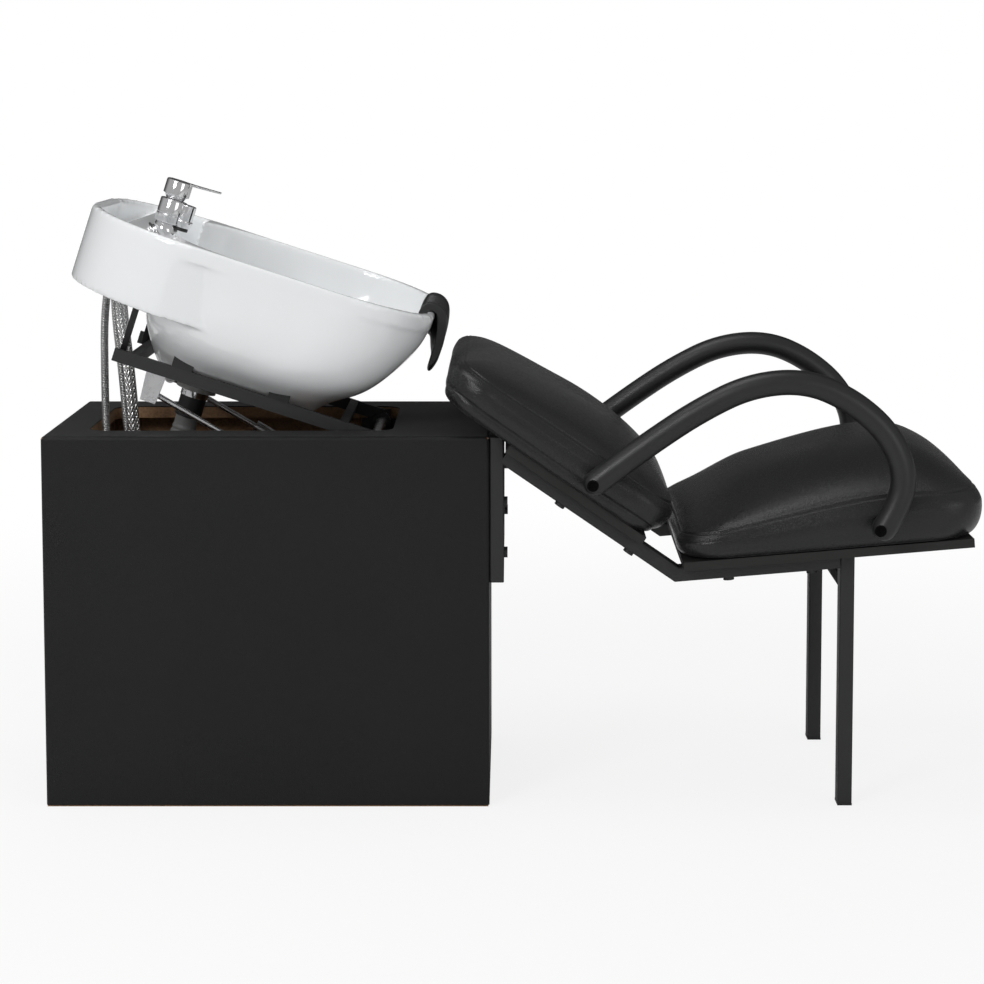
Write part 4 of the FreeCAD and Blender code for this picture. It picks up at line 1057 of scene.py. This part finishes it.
# Tap: profiles of (radius, height) in millimetres, in the basin's level frame.
TAP_U = -0.3785
SPRAY_U = -0.3575
TAP_FOOT = (-0.3885, 0.1724)
TAP_SIDES = 64
TAP_EDGE = 0.0003
BODY_PROFILE = ((0.2, 195), (15, 195), (18.4, 195.6), (19.5, 197.5), (19.5, 207), (19.1, 207.5),
                (19.1, 208.5), (19.5, 209), (19.5, 228), (19, 229), (18, 229.4), (11.8, 229.4), (13.7, 232),
                (15.05, 234.5), (15.9, 237), (16.2, 238.5), (0.2, 238.5))
BASE_PROFILE = ((0.2, 0), (21, 0), (21.4, 1.2), (21, 2.6), (17, 4), (16.4, 6.5), (18.6, 10), (19.6, 14.5),
                (19.2, 19), (17, 23.5), (13.4, 27.5), (9, 30.5), (0.2, 32))
CAP_PROFILE = ((0.2, 251.6), (16.8, 251.6), (17, 250.6), (17, 237.2), (17.6, 236.5), (18.4, 236.6),
               (19, 237.4), (19, 256), (18.4, 257.4), (17, 258), (0.2, 258))
SPRAY_PROFILE = ((0.2, 195), (11.6, 195), (12, 195.6), (13.9, 204), (13.6, 205), (12.5, 205.6), (12.5, 227),
                 (11.5, 228), (0.2, 228))
LEVER_BACK, LEVER_TIP = -0.392, -0.318
LEVER_HEIGHT, LEVER_LIFT = 0.2565, 0.0022
LEVER_WIDTH, LEVER_NARROWS = 0.021, 0.007
LEVER_THICKNESS, LEVER_THINS = 0.0042, 0.0016
LEVER_STEPS = 20


class CHAIR_OT_tap(bpy.types.Operator):
    """Tap: a ball base on the ridge, a stout body, a cap with a flat lever, and the pull-out spray"""
    bl_idname = "chair.tap"
    bl_label = "Tap"

    def execute(self, context):
        plate = chrome()
        upright = level_direction(0.0, 1.0)
        axis_foot = level(TAP_U, 0.0, 0.0)
        base_foot = level(TAP_FOOT[0], 0.0, TAP_FOOT[1])
        pieces = (("tap_body", BODY_PROFILE, axis_foot, upright, "basin_unit"),
                  ("tap_base", BASE_PROFILE, base_foot, ridge_normal(), "basin_unit"),
                  ("tap_lever", CAP_PROFILE, axis_foot, upright, "tap_lever"),
                  ("spray_head", SPRAY_PROFILE, level(SPRAY_U, 0.0, 0.0), upright, "spray"))
        for node, profile, foot, axis, body in pieces:
            grid = turned(np.array(profile) / 1000, foot, axis, TAP_SIDES)
            self.plated(node + "_dressed", grid_mesh(node, grid, wrap_rows=True), plate, node, body)
        self.plated("tap_blade", self.blade(), plate, "tap_lever", "tap_lever")
        return {"FINISHED"}

    def plated(self, name, mesh, material, node, body):
        item = show(name, outward(mesh), material)
        bevel(item, TAP_EDGE)
        dress(item, "polished_chrome", body, node)

    def blade(self):
        """The flat lever: a rounded section that narrows and thins from the cap to the tip."""
        share = np.r_[0, 0, np.linspace(0, 1, LEVER_STEPS), 1, 1][:, None]
        swell = np.r_[0.05, 0.7, np.ones(LEVER_STEPS), 0.75, 0.05][:, None]
        across, up = rounded_box_profile(1.0, 1.0, 0.3).T
        grid = level(LEVER_BACK + (LEVER_TIP - LEVER_BACK) * share,
                     swell * (LEVER_WIDTH - LEVER_NARROWS * share) * across,
                     LEVER_HEIGHT + LEVER_LIFT * share ** 2
                     + swell * (LEVER_THICKNESS - LEVER_THINS * share) * up)
        return grid_mesh("tap_blade", grid, caps=True)


STRAP_U, STRAP_Y = -0.3715, 0.116
STRAP_LOW, STRAP_HIGH = 0.004, 0.138
STRAP_SECTION = (0.009, 0.004, 0.001)
STRAP_BEND = 0.006
FOOT_REACH = 0.020


class CHAIR_OT_uprights(bpy.types.Operator):
    """Straps that carry the rear of the basin: each turns in under the deck with a soft bend"""
    bl_idname = "chair.uprights"
    bl_label = "Basin uprights"

    def execute(self, context):
        coat = powder_coat()
        angle = np.linspace(0, math.pi / 2, 9)
        arc = np.stack([STRAP_Y - STRAP_BEND * (1 - np.cos(angle)),
                        STRAP_HIGH - STRAP_BEND * (1 - np.sin(angle))], -1)
        y, w = np.vstack([(STRAP_Y, STRAP_LOW), arc, (STRAP_Y - FOOT_REACH, STRAP_HIGH)]).T
        for name, side in SIDES:
            piece = f"upright_{name}"
            path = level(STRAP_U, side * y, w)
            grid = carried(path, rounded_box_profile(*STRAP_SECTION), level_direction(1.0, 0.0))
            item = show(piece, outward(grid_mesh(piece, grid, caps=True)), coat)
            dress(item, "black_metal", "basin_unit", "basin_uprights")
        return {"FINISHED"}


class CHAIR_OT_clevises(bpy.types.Operator):
    """Plated clevises of the struts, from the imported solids"""
    bl_idname = "chair.clevises"
    bl_label = "Strut clevises"

    def execute(self, context):
        steel = zinc_steel("plated_steel", (40, 40, 40))
        item = show("strut_clevises_dressed", solid_copy("strut_clevises"), steel, False)
        dress(item, "bare_steel", "basin_unit", "strut_clevises")
        return {"FINISHED"}


class CHAIR_OT_finishes(bpy.types.Operator):
    """Finishes of the solids that show as they are"""
    bl_idname = "chair.finishes"
    bl_label = "Finishes"

    def execute(self, context):
        near_black_board = plywood()
        plastic = moulded("black_plastic", (0.011, 0.011, 0.011), 0.45, 1200.0)
        slots = {"black_vinyl": leatherette("cover_leatherette", 900.0, 0.43, 0.24),
                 "raw_wood": chipboard(),
                 "black_metal": powder_coat(),
                 "bare_steel": zinc_steel("drawn_steel", (60, 900, 60)),
                 "black_rubber": moulded("black_rubber", (0.01, 0.01, 0.01), 0.6, 1500.0),
                 "polished_chrome": chrome(),
                 "black_plastic": plastic,
                 "arm_foam": moulded("arm_foam", colours().foam, 0.36, 2200.0),
                 "grey_plastic": moulded("drain_nut_plastic", colours().drain, 0.38, 900.0)}
        # The seat and back boards get the near-black plywood.
        special = {"seat_board": near_black_board, "back_board": near_black_board, "drain_tail": plastic}
        for part in frame["record"]["subparts"]:
            material = special.get(part["node"], slots.get(part["material_slot"]))
            if material:
                item = NODES[part["node"]]
                item.data.materials.clear()
                item.data.materials.append(material)
        return {"FINISHED"}


PIECES = (CHAIR_OT_stage, CHAIR_OT_hoses, CHAIR_OT_drain_hose, CHAIR_OT_cushions, CHAIR_OT_arms,
          CHAIR_OT_frame, CHAIR_OT_basin, CHAIR_OT_neck_rest, CHAIR_OT_tap, CHAIR_OT_uprights,
          CHAIR_OT_clevises, CHAIR_OT_finishes)


class CHAIR_PT_panel(bpy.types.Panel):
    """Lists the chair's pieces"""
    bl_idname = "CHAIR_PT_panel"
    bl_label = "Shampoo chair"
    bl_space_type = "VIEW_3D"
    bl_region_type = "UI"
    bl_category = "Shampoo chair"

    def draw(self, context):
        for piece in PIECES:
            self.layout.operator(piece.bl_idname)


CLASSES = (ChairSizes, ChairColours, *PIECES, CHAIR_PT_panel)


def register():
    for item in CLASSES:
        bpy.utils.register_class(item)
    bpy.types.Scene.chair_sizes = PointerProperty(type=ChairSizes)
    bpy.types.Scene.chair_colours = PointerProperty(type=ChairColours)


def unregister():
    del bpy.types.Scene.chair_sizes
    del bpy.types.Scene.chair_colours
    for item in reversed(CLASSES):
        bpy.utils.unregister_class(item)


def main():
    register()
    for piece in PIECES:
        area, name = piece.bl_idname.split(".")
        getattr(getattr(bpy.ops, area), name)()


if __name__ == "__main__":
    main()
